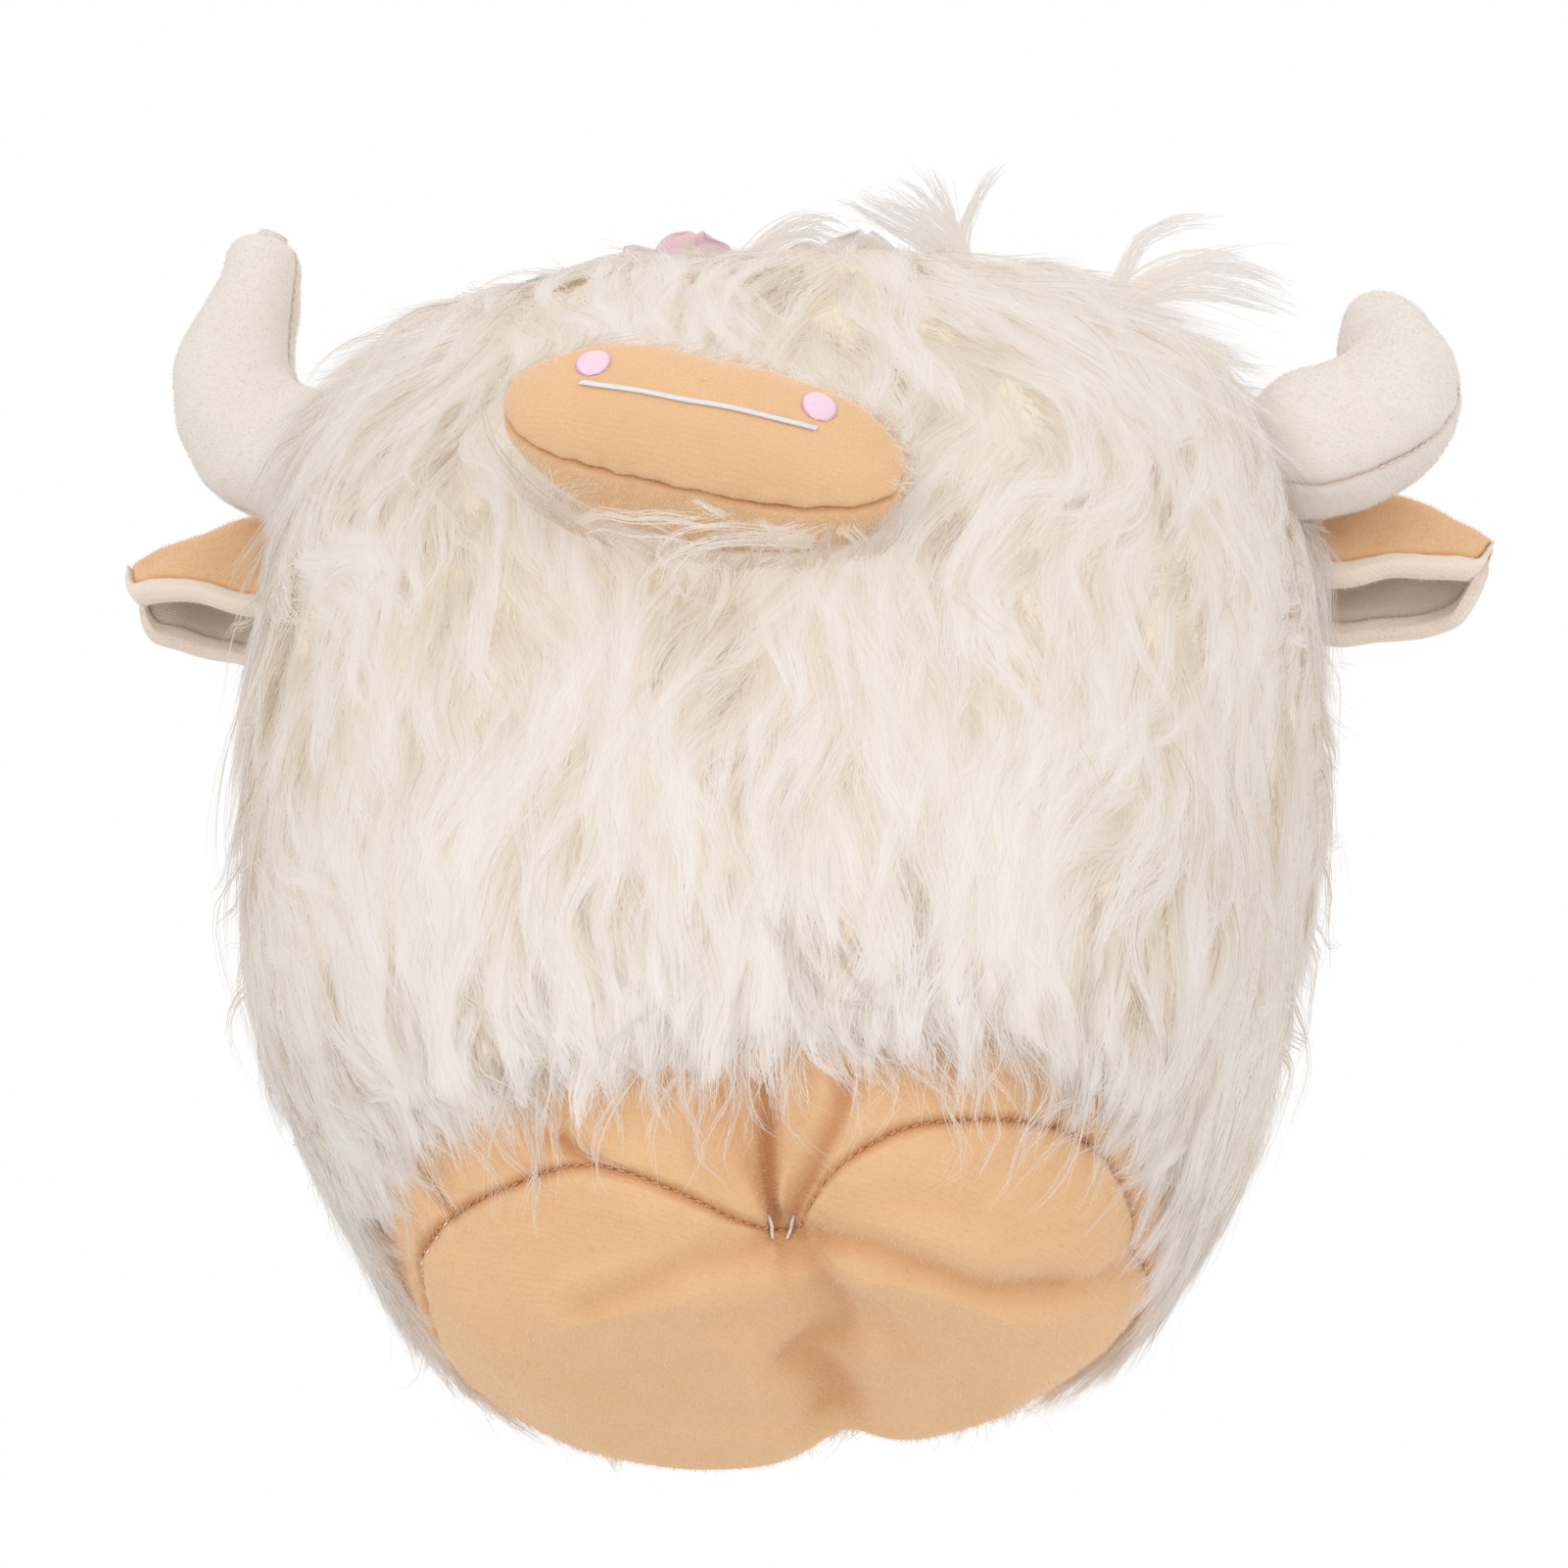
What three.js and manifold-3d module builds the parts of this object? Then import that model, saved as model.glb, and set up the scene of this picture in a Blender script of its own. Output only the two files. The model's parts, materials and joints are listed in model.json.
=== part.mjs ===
// A stuffed cow with a long-pile coat. It stands on its sole with the muzzle towards -Y and +Z up.
// Lengths are millimetres and angles are degrees.
import * as THREE from 'three';
import Module from 'manifold-3d';

const wasm = await Module();
wasm.setup();

// Cloth, seams and clearances
const clothThickness = 1.6;
const seamGap = 0.5;
const fillingClearance = 0.3;
const cutClearance = 0.6;
const cutOverrun = 8;
const restingCut = 0.5;
const cornerRounding = 0.0001;

// Body: the filling's outer surface, which is the back of the cloth
const bodyHeight = 286;
const bodyHalfWidth = 113;
const bodyHalfDepth = 92;
const bodySquareness = 2.6;
const bodyLean = 9;
const bodyLeanStepShare = 0.2;
const baseForward = 5;
const baseForwardHeight = 60;
const slackDepth = 9;
const slackHeight = 105;
const slackHalfHeight = 48;
const bodyProfileShares = [
  // share of the half width, share of the half depth, share of the height
  [0, 0, 0],
  [0.24, 0.22, 0],
  [0.43, 0.37, 0.002],
  [0.57, 0.49, 0.035],
  [0.71, 0.69, 0.105],
  [0.84, 0.86, 0.21],
  [0.94, 0.96, 0.35],
  [1, 1, 0.525],
  [1.01, 0.97, 0.7],
  [0.99, 0.87, 0.84],
  [0.89, 0.69, 0.93],
  [0.6, 0.4, 0.985],
  [0, 0, 1],
];

// Sole and feet: one tan panel drawn in at the front centre, so that it swells into two feet
const soleSeamShare = 0.212;
const coatHemShare = 0.252;
const pinchDipShare = 0.03;
const pinchTurnShare = 0.035;
const pinchPlaceShare = 0.771;
const footHeight = 26;
const footCreaseDepth = 7;
const footCreaseHalfWidth = 13;
const footCreaseSidestep = 8;
const footBulge = 7;
const footSpread = 44;
const footHalfWidth = 26;
const pinchDepth = 30;
const pinchHalfWidth = 12;
const pinchHeight = 9;
const pinchReach = 15;

// Coat: long pile on a woven backing
const pileHeight = 15;
const pileHeightAtHem = 5;

// Muzzle pillow
const muzzleHalfWidth = 43;
const muzzleHalfHeight = 15;
const muzzleFrontDepth = 15;
const muzzleBackDepth = 26;
const muzzleSquareness = 2.5;
const domeSquareness = 2.6;
const domeRoundness = 0.62;
const muzzleHeight = 161;
const muzzleSidestep = 9;
const muzzleRoll = 15;
const muzzleTurn = 13;
const muzzleBackingGap = 4;

// Embroidery on the muzzle
const stitchHeight = 0.9;
const stitchClearance = 0.3;
const mouthLength = 52;
const mouthWidth = 1.8;
const mouthDrop = 4.5;
const mouthSag = 1.5;
const nostrilRadius = 4.3;
const nostrilSpread = 25;
const nostrilRise = 3;

// Horns
const hornBaseRadius = 16.5;
const hornTipRadius = 6.5;
const hornLength = 70;
const hornStartAngle = 16;
const hornEndAngle = 102;
const hornBendShare = 0.55;
const leftHornSeatShare = 0.612;
const rightHornSeatShare = 0.578;
const leftHornSeatForward = 27;
const rightHornSeatForward = 22;
const leftHornStandOff = 0;
const rightHornStandOff = 3;
const leftHornLeanAngle = 24;
const rightHornLeanAngle = -14;
const hornRadiusShares = [
  // share of the length, share of the way from the tip's radius to the base's radius
  [0, 1],
  [0.25, 0.92],
  [0.5, 0.66],
  [0.75, 0.32],
  [1, 0],
];

// Ears: a leaf of two cloths folded down along its length
const leftEarLength = 65;
const rightEarLength = 56;
const earHalfHeight = 20;
const earFoldRadius = 8.5;
const earSeatShare = 0.59;
const leftEarSeatBack = 7;
const rightEarSeatBack = 10;
const earStandOff = 3.5;
const leftEarSweepAngle = -2;
const rightEarSweepAngle = 12;
const earDroop = 3;
const earSwing = 15;
const earSplayShare = 0.12;
const earOutlineShares = [
  // share of the length, share of the half height, share of the fold radius
  [0, 0.27, 0.46],
  [0.1, 0.62, 0.62],
  [0.25, 0.95, 0.85],
  [0.38, 1, 1],
  [0.58, 0.8, 1],
  [0.8, 0.6, 0.9],
  [0.93, 0.48, 0.72],
  [1, 0.34, 0.5],
];

// Satin flowers and leaves on the crown
const petalLength = 17;
const petalWidth = 14;
const petalThickness = 2.4;
const petalLift = 24;
const petalCount = 5;
const flowerHeartRadius = 5;
const leafLength = 26;
const leafWidth = 12;
const leafThickness = 1.8;
const garlandClearance = 0.5;

// Facets
const bodyColumns = 48;
const soleRows = 5;
const bandRows = 3;
const coatRows = 11;
const bandHalfColumns = 7;
const pileRiseRows = 3;
const muzzleColumns = 28;
const muzzleDomeRows = 4;
const hornColumns = 14;
const hornBaseRows = 3;
const hornShaftRows = 7;
const hornCapRows = 3;
const pocketColumns = 24;
const pocketRows = 16;
const earColumns = 8;
const earRows = 9;
const petalColumns = 8;
const petalRows = 4;
const mouthColumns = 18;
const nostrilColumns = 14;
const nostrilRows = 2;

const degrees = (angle) => THREE.MathUtils.degToRad(angle);
const bell = (distance, halfWidth) => Math.exp(-((distance / halfWidth) ** 2));

// A smooth curve through a hand-chosen table whose first column is the share it is read at
function curveThrough(table) {
  const places = new Float32Array(table.map((row) => row[0]));
  const values = new Float32Array(table.flatMap((row) => row.slice(1)));
  const curve = new THREE.CubicInterpolant(places, values, table[0].length - 1);
  return (share) => Array.from(curve.evaluate(THREE.MathUtils.clamp(share, 0, 1)));
}

// A net of points over a rounded form: columns run along it or round it, rows run across them.
// poles says whether the first and the last row each close in one point.
class Net {
  constructor({ columns, rows, closed, poles, inside, pointAt }) {
    Object.assign(this, { columns, rows, closed, poles, pointAt });
    this.cache = new Map();
    this.facing = 1;
    const middle = this.at(Math.round(columns / 4), Math.round(rows / 2));
    if (middle.normal.dot(middle.point.clone().sub(inside)) < 0) {
      this.facing = -1;
    }
    this.cache.clear();
  }

  isPole(row) {
    return (row === 0 && this.poles[0]) || (row === this.rows && this.poles[1]);
  }

  at(column, row) {
    const place = this.isPole(row) ? 0 : column;
    const key = `${place},${row}`;
    if (!this.cache.has(key)) {
      this.cache.set(key, { point: this.pointAt(place, row), normal: this.normalAt(place, row) });
    }
    return this.cache.get(key);
  }

  // Square to the lines that join a corner's neighbours, so that offset panels stay clear
  normalAt(column, row) {
    const normal = new THREE.Vector3();
    if (this.isPole(row)) {
      const ring = row === 0 ? 1 : this.rows - 1;
      const quarter = this.columns / 4;
      const across = this.pointAt(0, ring).sub(this.pointAt(2 * quarter, ring));
      const along = this.pointAt(quarter, ring).sub(this.pointAt(3 * quarter, ring));
      normal.crossVectors(across, along).multiplyScalar(row === 0 ? -1 : 1);
    } else {
      const left = this.closed ? column - 1 : Math.max(column - 1, 0);
      const right = this.closed ? column + 1 : Math.min(column + 1, this.columns);
      const round = this.pointAt(right, row).sub(this.pointAt(left, row));
      const low = this.pointAt(column, Math.max(row - 1, 0));
      const up = this.pointAt(column, Math.min(row + 1, this.rows)).sub(low);
      normal.crossVectors(round, up);
    }
    return normal.normalize().multiplyScalar(this.facing);
  }

  // How a corner of a panel draws back from the seam that it lies on
  seamShift(column, row, columns, rows) {
    const shift = new THREE.Vector3();
    const here = this.at(column, row).point;
    const towards = (toColumn, toRow) => {
      const way = this.at(toColumn, toRow).point.clone().sub(here);
      shift.addScaledVector(way.normalize(), seamGap / 2);
    };
    const partTurn = this.closed && columns[1] - columns[0] < this.columns;
    if (this.isPole(row)) {
      if (partTurn) {
        towards((columns[0] + columns[1]) / 2, row === 0 ? 1 : row - 1);
      }
      return shift;
    }
    if (row === rows[0] && row > 0) {
      towards(column, row + 1);
    }
    if (row === rows[1] && row < this.rows) {
      towards(column, row - 1);
    }
    if (partTurn && column === columns[0]) {
      towards(column + 1, row);
    }
    if (partTurn && column === columns[1]) {
      towards(column - 1, row);
    }
    return shift;
  }
}

// Collects corners by place and triangles by number
class Faces {
  constructor() {
    this.numbers = new Map();
    this.places = [];
    this.triangles = [];
  }

  corner(point) {
    const key = point.toArray().map((value) => Math.round(value / cornerRounding)).join();
    if (!this.numbers.has(key)) {
      this.numbers.set(key, this.places.length / 3);
      this.places.push(...point.toArray());
    }
    return this.numbers.get(key);
  }

  quad(a, b, c, d) {
    const corners = [a, b, c, d].map((point) => this.corner(point));
    for (const [i, j, k] of [[0, 1, 2], [0, 2, 3]]) {
      const triangle = [corners[i], corners[j], corners[k]];
      if (new Set(triangle).size === 3) {
        this.triangles.push(triangle);
      }
    }
  }

  geometry() {
    const corner = (number) => new THREE.Vector3().fromArray(this.places, 3 * number);
    const volume = this.triangles.reduce((sum, [i, j, k]) => (
      sum + corner(i).dot(corner(j).cross(corner(k)))
    ), 0);
    const outward = volume > 0 ? this.triangles : this.triangles.map((t) => [...t].reverse());
    const geometry = new THREE.BufferGeometry();
    geometry.setAttribute('position', new THREE.Float32BufferAttribute(this.places, 3));
    geometry.setIndex(outward.flat());
    return geometry;
  }
}

// A filled form: the net closed on itself, grown outward by a distance
function core(net, grow = 0) {
  const faces = new Faces();
  const corner = (column, row) => {
    const { point, normal } = net.at(column % net.columns, row);
    return point.clone().addScaledVector(normal, grow);
  };
  for (let row = 0; row < net.rows; row += 1) {
    for (let column = 0; column < net.columns; column += 1) {
      faces.quad(
        corner(column, row),
        corner(column + 1, row),
        corner(column + 1, row + 1),
        corner(column, row + 1),
      );
    }
  }
  return faces.geometry();
}

// A panel of cloth: the part of the net between two columns and two rows, with a thickness
function panel(net, { columns = [0, net.columns], rows = [0, net.rows], inner, outer }) {
  const faces = new Faces();
  const partTurn = columns[1] - columns[0] < net.columns || !net.closed;
  const corner = (column, row, distanceAt) => {
    const wrapped = net.closed ? column % net.columns : column;
    const { point, normal } = net.at(wrapped, row);
    const shift = net.seamShift(column, row, columns, rows);
    return point.clone().addScaledVector(normal, distanceAt(column, row)).add(shift);
  };
  const front = (column, row) => corner(column, row, outer);
  const back = (column, row) => corner(column, row, inner);
  for (let row = rows[0]; row < rows[1]; row += 1) {
    for (let column = columns[0]; column < columns[1]; column += 1) {
      const square = [[column, row], [column + 1, row], [column + 1, row + 1], [column, row + 1]];
      faces.quad(...square.map(([c, r]) => front(c, r)));
      faces.quad(...[square[0], square[3], square[2], square[1]].map(([c, r]) => back(c, r)));
    }
  }
  const wall = (from, to) => faces.quad(front(...to), front(...from), back(...from), back(...to));
  for (let column = columns[0]; column < columns[1]; column += 1) {
    if (!net.isPole(rows[0])) {
      wall([column, rows[0]], [column + 1, rows[0]]);
    }
    if (!net.isPole(rows[1])) {
      wall([column + 1, rows[1]], [column, rows[1]]);
    }
  }
  for (let row = rows[0]; row < rows[1] && partTurn; row += 1) {
    wall([columns[0], row + 1], [columns[0], row]);
    wall([columns[1], row], [columns[1], row + 1]);
  }
  return faces.geometry();
}

const clothInner = () => fillingClearance;
const clothOuter = () => fillingClearance + clothThickness;

// A closed geometry as a solid, and a solid as a geometry
function solidOf(geometry, matrix = new THREE.Matrix4()) {
  const loose = geometry.getIndex() ? geometry.toNonIndexed() : geometry.clone();
  const places = loose.applyMatrix4(matrix).getAttribute('position');
  const corner = (number) => new THREE.Vector3().fromBufferAttribute(places, number);
  const faces = new Faces();
  for (let number = 0; number < places.count; number += 3) {
    const [a, b, c] = [corner(number), corner(number + 1), corner(number + 2)];
    faces.quad(a, b, c, c);
  }
  const mesh = new wasm.Mesh({
    numProp: 3,
    vertProperties: new Float32Array(faces.places),
    triVerts: new Uint32Array(faces.triangles.flat()),
  });
  return new wasm.Manifold(mesh);
}

function geometryOf(solid) {
  const mesh = solid.getMesh();
  const geometry = new THREE.BufferGeometry();
  geometry.setAttribute('position', new THREE.Float32BufferAttribute(mesh.vertProperties, 3));
  geometry.setIndex(Array.from(mesh.triVerts));
  return geometry;
}

// Colours and finishes
const finish = (color, roughness) => new THREE.MeshStandardMaterial({
  color,
  roughness,
  metalness: 0,
});
const furFinish = () => finish('#f0e8de', 0.95);
const tanFinish = () => finish('#ebbe87', 0.92);
const hornFinish = () => finish('#ece4dc', 0.92);
const liningFinish = () => finish('#ded0c3', 0.95);
const fillingFinish = () => finish('#f6f5f2', 1);
const pinkThreadFinish = () => finish('#f5bed7', 0.45);
const whiteThreadFinish = () => finish('#f4f3f6', 0.5);
const pinkSatinFinish = () => finish('#f3c3d4', 0.35);
const whiteSatinFinish = () => finish('#f6f1f0', 0.35);
const paleSatinFinish = () => finish('#f2dde2', 0.35);
const leafSatinFinish = () => finish('#cfe3c0', 0.4);

// Where the flowers and leaves sit: share of a turn from the front, share of the coat's rows
const garlandShares = [
  ['flower_pink', -0.065, 0.82, pinkSatinFinish],
  ['flower_white', 0.052, 0.84, whiteSatinFinish],
  ['flower_pale', 0.178, 0.82, paleSatinFinish],
  ['leaf_left', -0.09, 0.71, leafSatinFinish],
  ['leaf_right', 0.115, 0.735, leafSatinFinish],
];

const group = new THREE.Group();

function addPiece(parent, name, geometry, material) {
  const mesh = new THREE.Mesh(geometry, material);
  mesh.name = name;
  parent.add(mesh);
  return mesh;
}

// Body surface. Column 0 is the side seam at +X and the columns run round by way of the back.
const bodyRows = soleRows + bandRows + coatRows;
const hemRow = soleRows + bandRows;
const frontTurnShare = 0.75;
const meridian = new THREE.CatmullRomCurve3(bodyProfileShares.map(([width, depth, height]) => (
  new THREE.Vector3(width * bodyHalfWidth, depth * bodyHalfDepth, height * bodyHeight)
)));

// Rows are spread between the sole's centre, its seam, the coat's hem and the crown.
// The sole's seam dips where the front is drawn in.
function meridianShare(column, row) {
  const dip = pinchDipShare * bell(column / bodyColumns - pinchPlaceShare, pinchTurnShare);
  const steps = [
    [0, 0],
    [soleRows, soleSeamShare - dip],
    [hemRow, coatHemShare],
    [bodyRows, 1],
  ];
  const next = Math.max(1, steps.findIndex(([last]) => row <= last));
  const [firstRow, firstShare] = steps[next - 1];
  const [lastRow, lastShare] = steps[next];
  return THREE.MathUtils.mapLinear(row, firstRow, lastRow, firstShare, lastShare);
}

function squared(angle, squareness) {
  const sum = Math.abs(Math.cos(angle)) ** squareness + Math.abs(Math.sin(angle)) ** squareness;
  return sum ** (-1 / squareness);
}

// The drawn-in point at the front, the crease under the sole and the two swelling feet
function shapeFeet(point, frontShare) {
  const low = bell(point.z, footHeight);
  const across = point.x - footCreaseSidestep;
  const crease = footCreaseDepth * bell(across, footCreaseHalfWidth) * low;
  const pinch = pinchDepth * bell(across, pinchHalfWidth) * bell(point.z - pinchHeight, pinchReach);
  const bulge = footBulge * bell(Math.abs(across) - footSpread, footHalfWidth) * low;
  point.z += crease;
  point.y += (pinch - bulge) * frontShare - baseForward * bell(point.z, baseForwardHeight);
}

// The stuffing slumps, so the body bends over to one side as it rises above the feet
const leanAt = (height) => (
  degrees(bodyLean) * Math.max(0, (height - footHeight) / (bodyHeight - footHeight))
);

function leanOver(point) {
  const tilt = leanAt(point.z);
  const sidestep = bodyLeanStepShare * tilt * point.z / 2;
  return new THREE.Vector3(
    point.x * Math.cos(tilt) + sidestep,
    point.y,
    point.z - point.x * Math.sin(tilt),
  );
}

// The side that the body leans away from is less filled above the foot
const slackAt = (height, sideShare) => (
  slackDepth * Math.max(0, sideShare) * bell(height - slackHeight, slackHalfHeight)
);

function bodyPoint(column, row) {
  const angle = (2 * Math.PI * column) / bodyColumns;
  const reach = meridian.getPointAt(meridianShare(column, row));
  const square = squared(angle, bodySquareness);
  const point = new THREE.Vector3(
    reach.x * Math.cos(angle) * square - slackAt(reach.z, Math.cos(angle)),
    reach.y * Math.sin(angle) * square,
    reach.z,
  );
  const frontShare = Math.max(0, -Math.sin(angle)) * (reach.y / bodyHalfDepth);
  shapeFeet(point, frontShare);
  return leanOver(point);
}

const bodyNet = new Net({
  columns: bodyColumns,
  rows: bodyRows,
  closed: true,
  poles: [true, true],
  inside: new THREE.Vector3(0, 0, bodyHeight / 2),
  pointAt: bodyPoint,
});
const frontColumn = bodyColumns * frontTurnShare;
const backSeamColumn = bodyColumns / 2;

const pileAt = (column, row) => {
  const share = THREE.MathUtils.smoothstep(row, hemRow, hemRow + pileRiseRows);
  return clothInner() + THREE.MathUtils.lerp(pileHeightAtHem, pileHeight, share);
};

addPiece(group, 'body_filling', core(bodyNet), fillingFinish());

// Sole, cut flat where the feet rest
const soleGeometry = panel(bodyNet, { rows: [0, soleRows], inner: clothInner, outer: clothOuter });
soleGeometry.computeBoundingBox();
const floorHeight = soleGeometry.boundingBox.min.z + restingCut;
const floorBlock = new THREE.BoxGeometry(
  2 * (bodyHalfWidth + cutOverrun),
  2 * (bodyHalfDepth + cutOverrun),
  cutOverrun,
);
const floorPlace = new THREE.Matrix4().makeTranslation(0, 0, floorHeight - cutOverrun / 2);
const sole = solidOf(soleGeometry).subtract(solidOf(floorBlock, floorPlace));
addPiece(group, 'sole_panel', geometryOf(sole), tanFinish());

// Band between the sole and the coat, in a front panel and one round the sides and back
const bandStart = frontColumn - bandHalfColumns;
const bandEnd = frontColumn + bandHalfColumns;
addPiece(group, 'foot_front_panel', panel(bodyNet, {
  columns: [bandStart, bandEnd],
  rows: [soleRows, hemRow],
  inner: clothInner,
  outer: clothOuter,
}), tanFinish());
addPiece(group, 'base_band', panel(bodyNet, {
  columns: [bandEnd, bandStart + bodyColumns],
  rows: [soleRows, hemRow],
  inner: clothInner,
  outer: clothOuter,
}), tanFinish());

// Where the body's backing is reached by a share of the coat's rows, at a column
function seatOnBody(column, coatShare, standOff) {
  const row = hemRow + coatShare * coatRows;
  const { point, normal } = bodyNet.at(column, row);
  return {
    point: point.clone().addScaledVector(normal, standOff),
    tilt: leanAt(point.z),
  };
}

// Muzzle: a pillow of a front and a back panel that meet in a seam round its rim
const muzzleRows = 2 * muzzleDomeRows;
const domeShare = (reach) => Math.max(0, 1 - reach ** domeSquareness) ** domeRoundness;

function muzzlePoint(column, row) {
  const angle = (2 * Math.PI * column) / muzzleColumns;
  const polar = Math.PI * (row / muzzleRows);
  const reach = Math.sin(polar);
  const depth = Math.cos(polar) > 0 ? -muzzleFrontDepth : muzzleBackDepth;
  const square = squared(angle, muzzleSquareness);
  return new THREE.Vector3(
    muzzleHalfWidth * reach * Math.cos(angle) * square,
    depth * domeShare(reach),
    muzzleHalfHeight * reach * Math.sin(angle) * square,
  );
}

const muzzleNet = new Net({
  columns: muzzleColumns,
  rows: muzzleRows,
  closed: true,
  poles: [true, true],
  inside: new THREE.Vector3(),
  pointAt: muzzlePoint,
});

const muzzle = new THREE.Group();
const muzzleY = -bodyHalfDepth - muzzleBackDepth - clothOuter() - muzzleBackingGap;
muzzle.position.set(muzzleSidestep, muzzleY, muzzleHeight);
muzzle.rotation.set(0, degrees(muzzleRoll), degrees(muzzleTurn), 'ZYX');
group.add(muzzle);
addPiece(muzzle, 'muzzle_filling', core(muzzleNet), fillingFinish());
addPiece(muzzle, 'muzzle_front_panel', panel(muzzleNet, {
  rows: [0, muzzleDomeRows],
  inner: clothInner,
  outer: clothOuter,
}), tanFinish());
addPiece(muzzle, 'muzzle_back_panel', panel(muzzleNet, {
  rows: [muzzleDomeRows, muzzleRows],
  inner: clothInner,
  outer: clothOuter,
}), tanFinish());

// The muzzle's face above a place across and up it
function muzzleFace(across, up) {
  const reach = (
    Math.abs(across / muzzleHalfWidth) ** muzzleSquareness
    + Math.abs(up / muzzleHalfHeight) ** muzzleSquareness
  ) ** (1 / muzzleSquareness);
  return new THREE.Vector3(across, -muzzleFrontDepth * domeShare(reach), up);
}

const stitchInner = () => clothOuter() + stitchClearance;
const stitchOuter = () => stitchInner() + stitchHeight;

const mouthNet = new Net({
  columns: mouthColumns,
  rows: 2,
  closed: false,
  poles: [false, false],
  inside: new THREE.Vector3(),
  pointAt: (column, row) => {
    const along = column / mouthColumns - 0.5;
    const sag = mouthSag * (1 - 4 * along ** 2);
    return muzzleFace(mouthLength * along, (row / 2 - 0.5) * mouthWidth - mouthDrop - sag);
  },
});
addPiece(muzzle, 'mouth_line', panel(mouthNet, {
  inner: stitchInner,
  outer: (column, row) => stitchInner() + (row === 1 ? stitchHeight : stitchHeight / 2),
}), whiteThreadFinish());

for (const [side, name] of [[-1, 'nostril_left'], [1, 'nostril_right']]) {
  const net = new Net({
    columns: nostrilColumns,
    rows: nostrilRows,
    closed: true,
    poles: [true, false],
    inside: new THREE.Vector3(),
    pointAt: (column, row) => {
      const angle = (2 * Math.PI * column) / nostrilColumns;
      const reach = nostrilRadius * (row / nostrilRows);
      return muzzleFace(
        side * nostrilSpread + reach * Math.cos(angle),
        nostrilRise + reach * Math.sin(angle),
      );
    },
  });
  addPiece(muzzle, name, panel(net, {
    inner: stitchInner,
    outer: (column, row) => (row === nostrilRows ? stitchOuter() - stitchHeight / 2 : stitchOuter()),
  }), pinkThreadFinish());
}

// Horns: a ball-shaped root, a curve outward and up, and a round tip
const hornRows = hornBaseRows + hornShaftRows + hornCapRows;
const hornRadiusCurve = curveThrough(hornRadiusShares);

function hornDistance(row) {
  if (row < hornBaseRows) {
    return -hornBaseRadius * Math.cos((Math.PI / 2) * (row / hornBaseRows));
  }
  const shaft = hornLength - hornTipRadius;
  if (row < hornBaseRows + hornShaftRows) {
    return shaft * ((row - hornBaseRows) / hornShaftRows);
  }
  const capShare = (row - hornBaseRows - hornShaftRows) / hornCapRows;
  return shaft + hornTipRadius * Math.sin((Math.PI / 2) * capShare);
}

function hornRadius(distance) {
  if (distance < 0) {
    return Math.sqrt(Math.max(0, hornBaseRadius ** 2 - distance ** 2));
  }
  const [share] = hornRadiusCurve(distance / hornLength);
  const radius = THREE.MathUtils.lerp(hornTipRadius, hornBaseRadius, share);
  const intoCap = Math.max(0, distance - (hornLength - hornTipRadius)) / hornTipRadius;
  return radius * Math.sqrt(Math.max(0, 1 - intoCap ** 2));
}

// The middle line leaves the body almost level, bends upward and ends straight
function hornMiddle(distance, side) {
  const start = degrees(hornStartAngle);
  const bendLength = hornBendShare * hornLength;
  const bend = degrees(hornEndAngle - hornStartAngle) / bendLength;
  const bent = THREE.MathUtils.clamp(distance, 0, bendLength);
  const heading = start + bend * bent;
  const straight = distance - bent;
  const outward = (Math.sin(heading) - Math.sin(start)) / bend + straight * Math.cos(heading);
  const upward = (Math.cos(start) - Math.cos(heading)) / bend + straight * Math.sin(heading);
  return {
    centre: new THREE.Vector3(side * outward, 0, upward),
    inward: new THREE.Vector3(-side * Math.sin(heading), 0, Math.cos(heading)),
  };
}

function makeHornNet(side) {
  return new Net({
    columns: hornColumns,
    rows: hornRows,
    closed: true,
    poles: [true, true],
    inside: hornMiddle(hornLength / 2, side).centre,
    pointAt: (column, row) => {
      const angle = (2 * Math.PI * column) / hornColumns;
      const distance = hornDistance(row);
      const radius = hornRadius(distance);
      const { centre, inward } = hornMiddle(distance, side);
      centre.addScaledVector(inward, radius * Math.cos(angle));
      centre.y += radius * Math.sin(angle);
      return centre;
    },
  });
}

// Ears
const earOutline = curveThrough(earOutlineShares);

function earSection(lengthShare) {
  const [heightShare, foldShare] = earOutline(lengthShare);
  return { halfHeight: heightShare * earHalfHeight, fold: foldShare * earFoldRadius };
}

function makeEarNet(side, earLength) {
  return new Net({
    columns: earColumns,
    rows: earRows,
    closed: false,
    poles: [false, false],
    inside: new THREE.Vector3(side * earLength / 2, 0, -2 * earHalfHeight),
    pointAt: (column, row) => {
      const across = (2 * column) / earColumns - 1;
      const { halfHeight, fold } = earSection(row / earRows);
      const roundLength = fold * Math.PI / 2;
      const flapLength = Math.max(0, 2 * halfHeight - fold);
      const reach = Math.abs(across) * (roundLength + flapLength);
      const turn = Math.min(reach, roundLength) / fold;
      const down = Math.max(0, reach - roundLength);
      return new THREE.Vector3(
        side * earLength * (row / earRows),
        Math.sign(across) * (fold * Math.sin(turn) + down * earSplayShare),
        halfHeight - fold * (1 - Math.cos(turn)) - down,
      );
    },
  });
}

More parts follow.
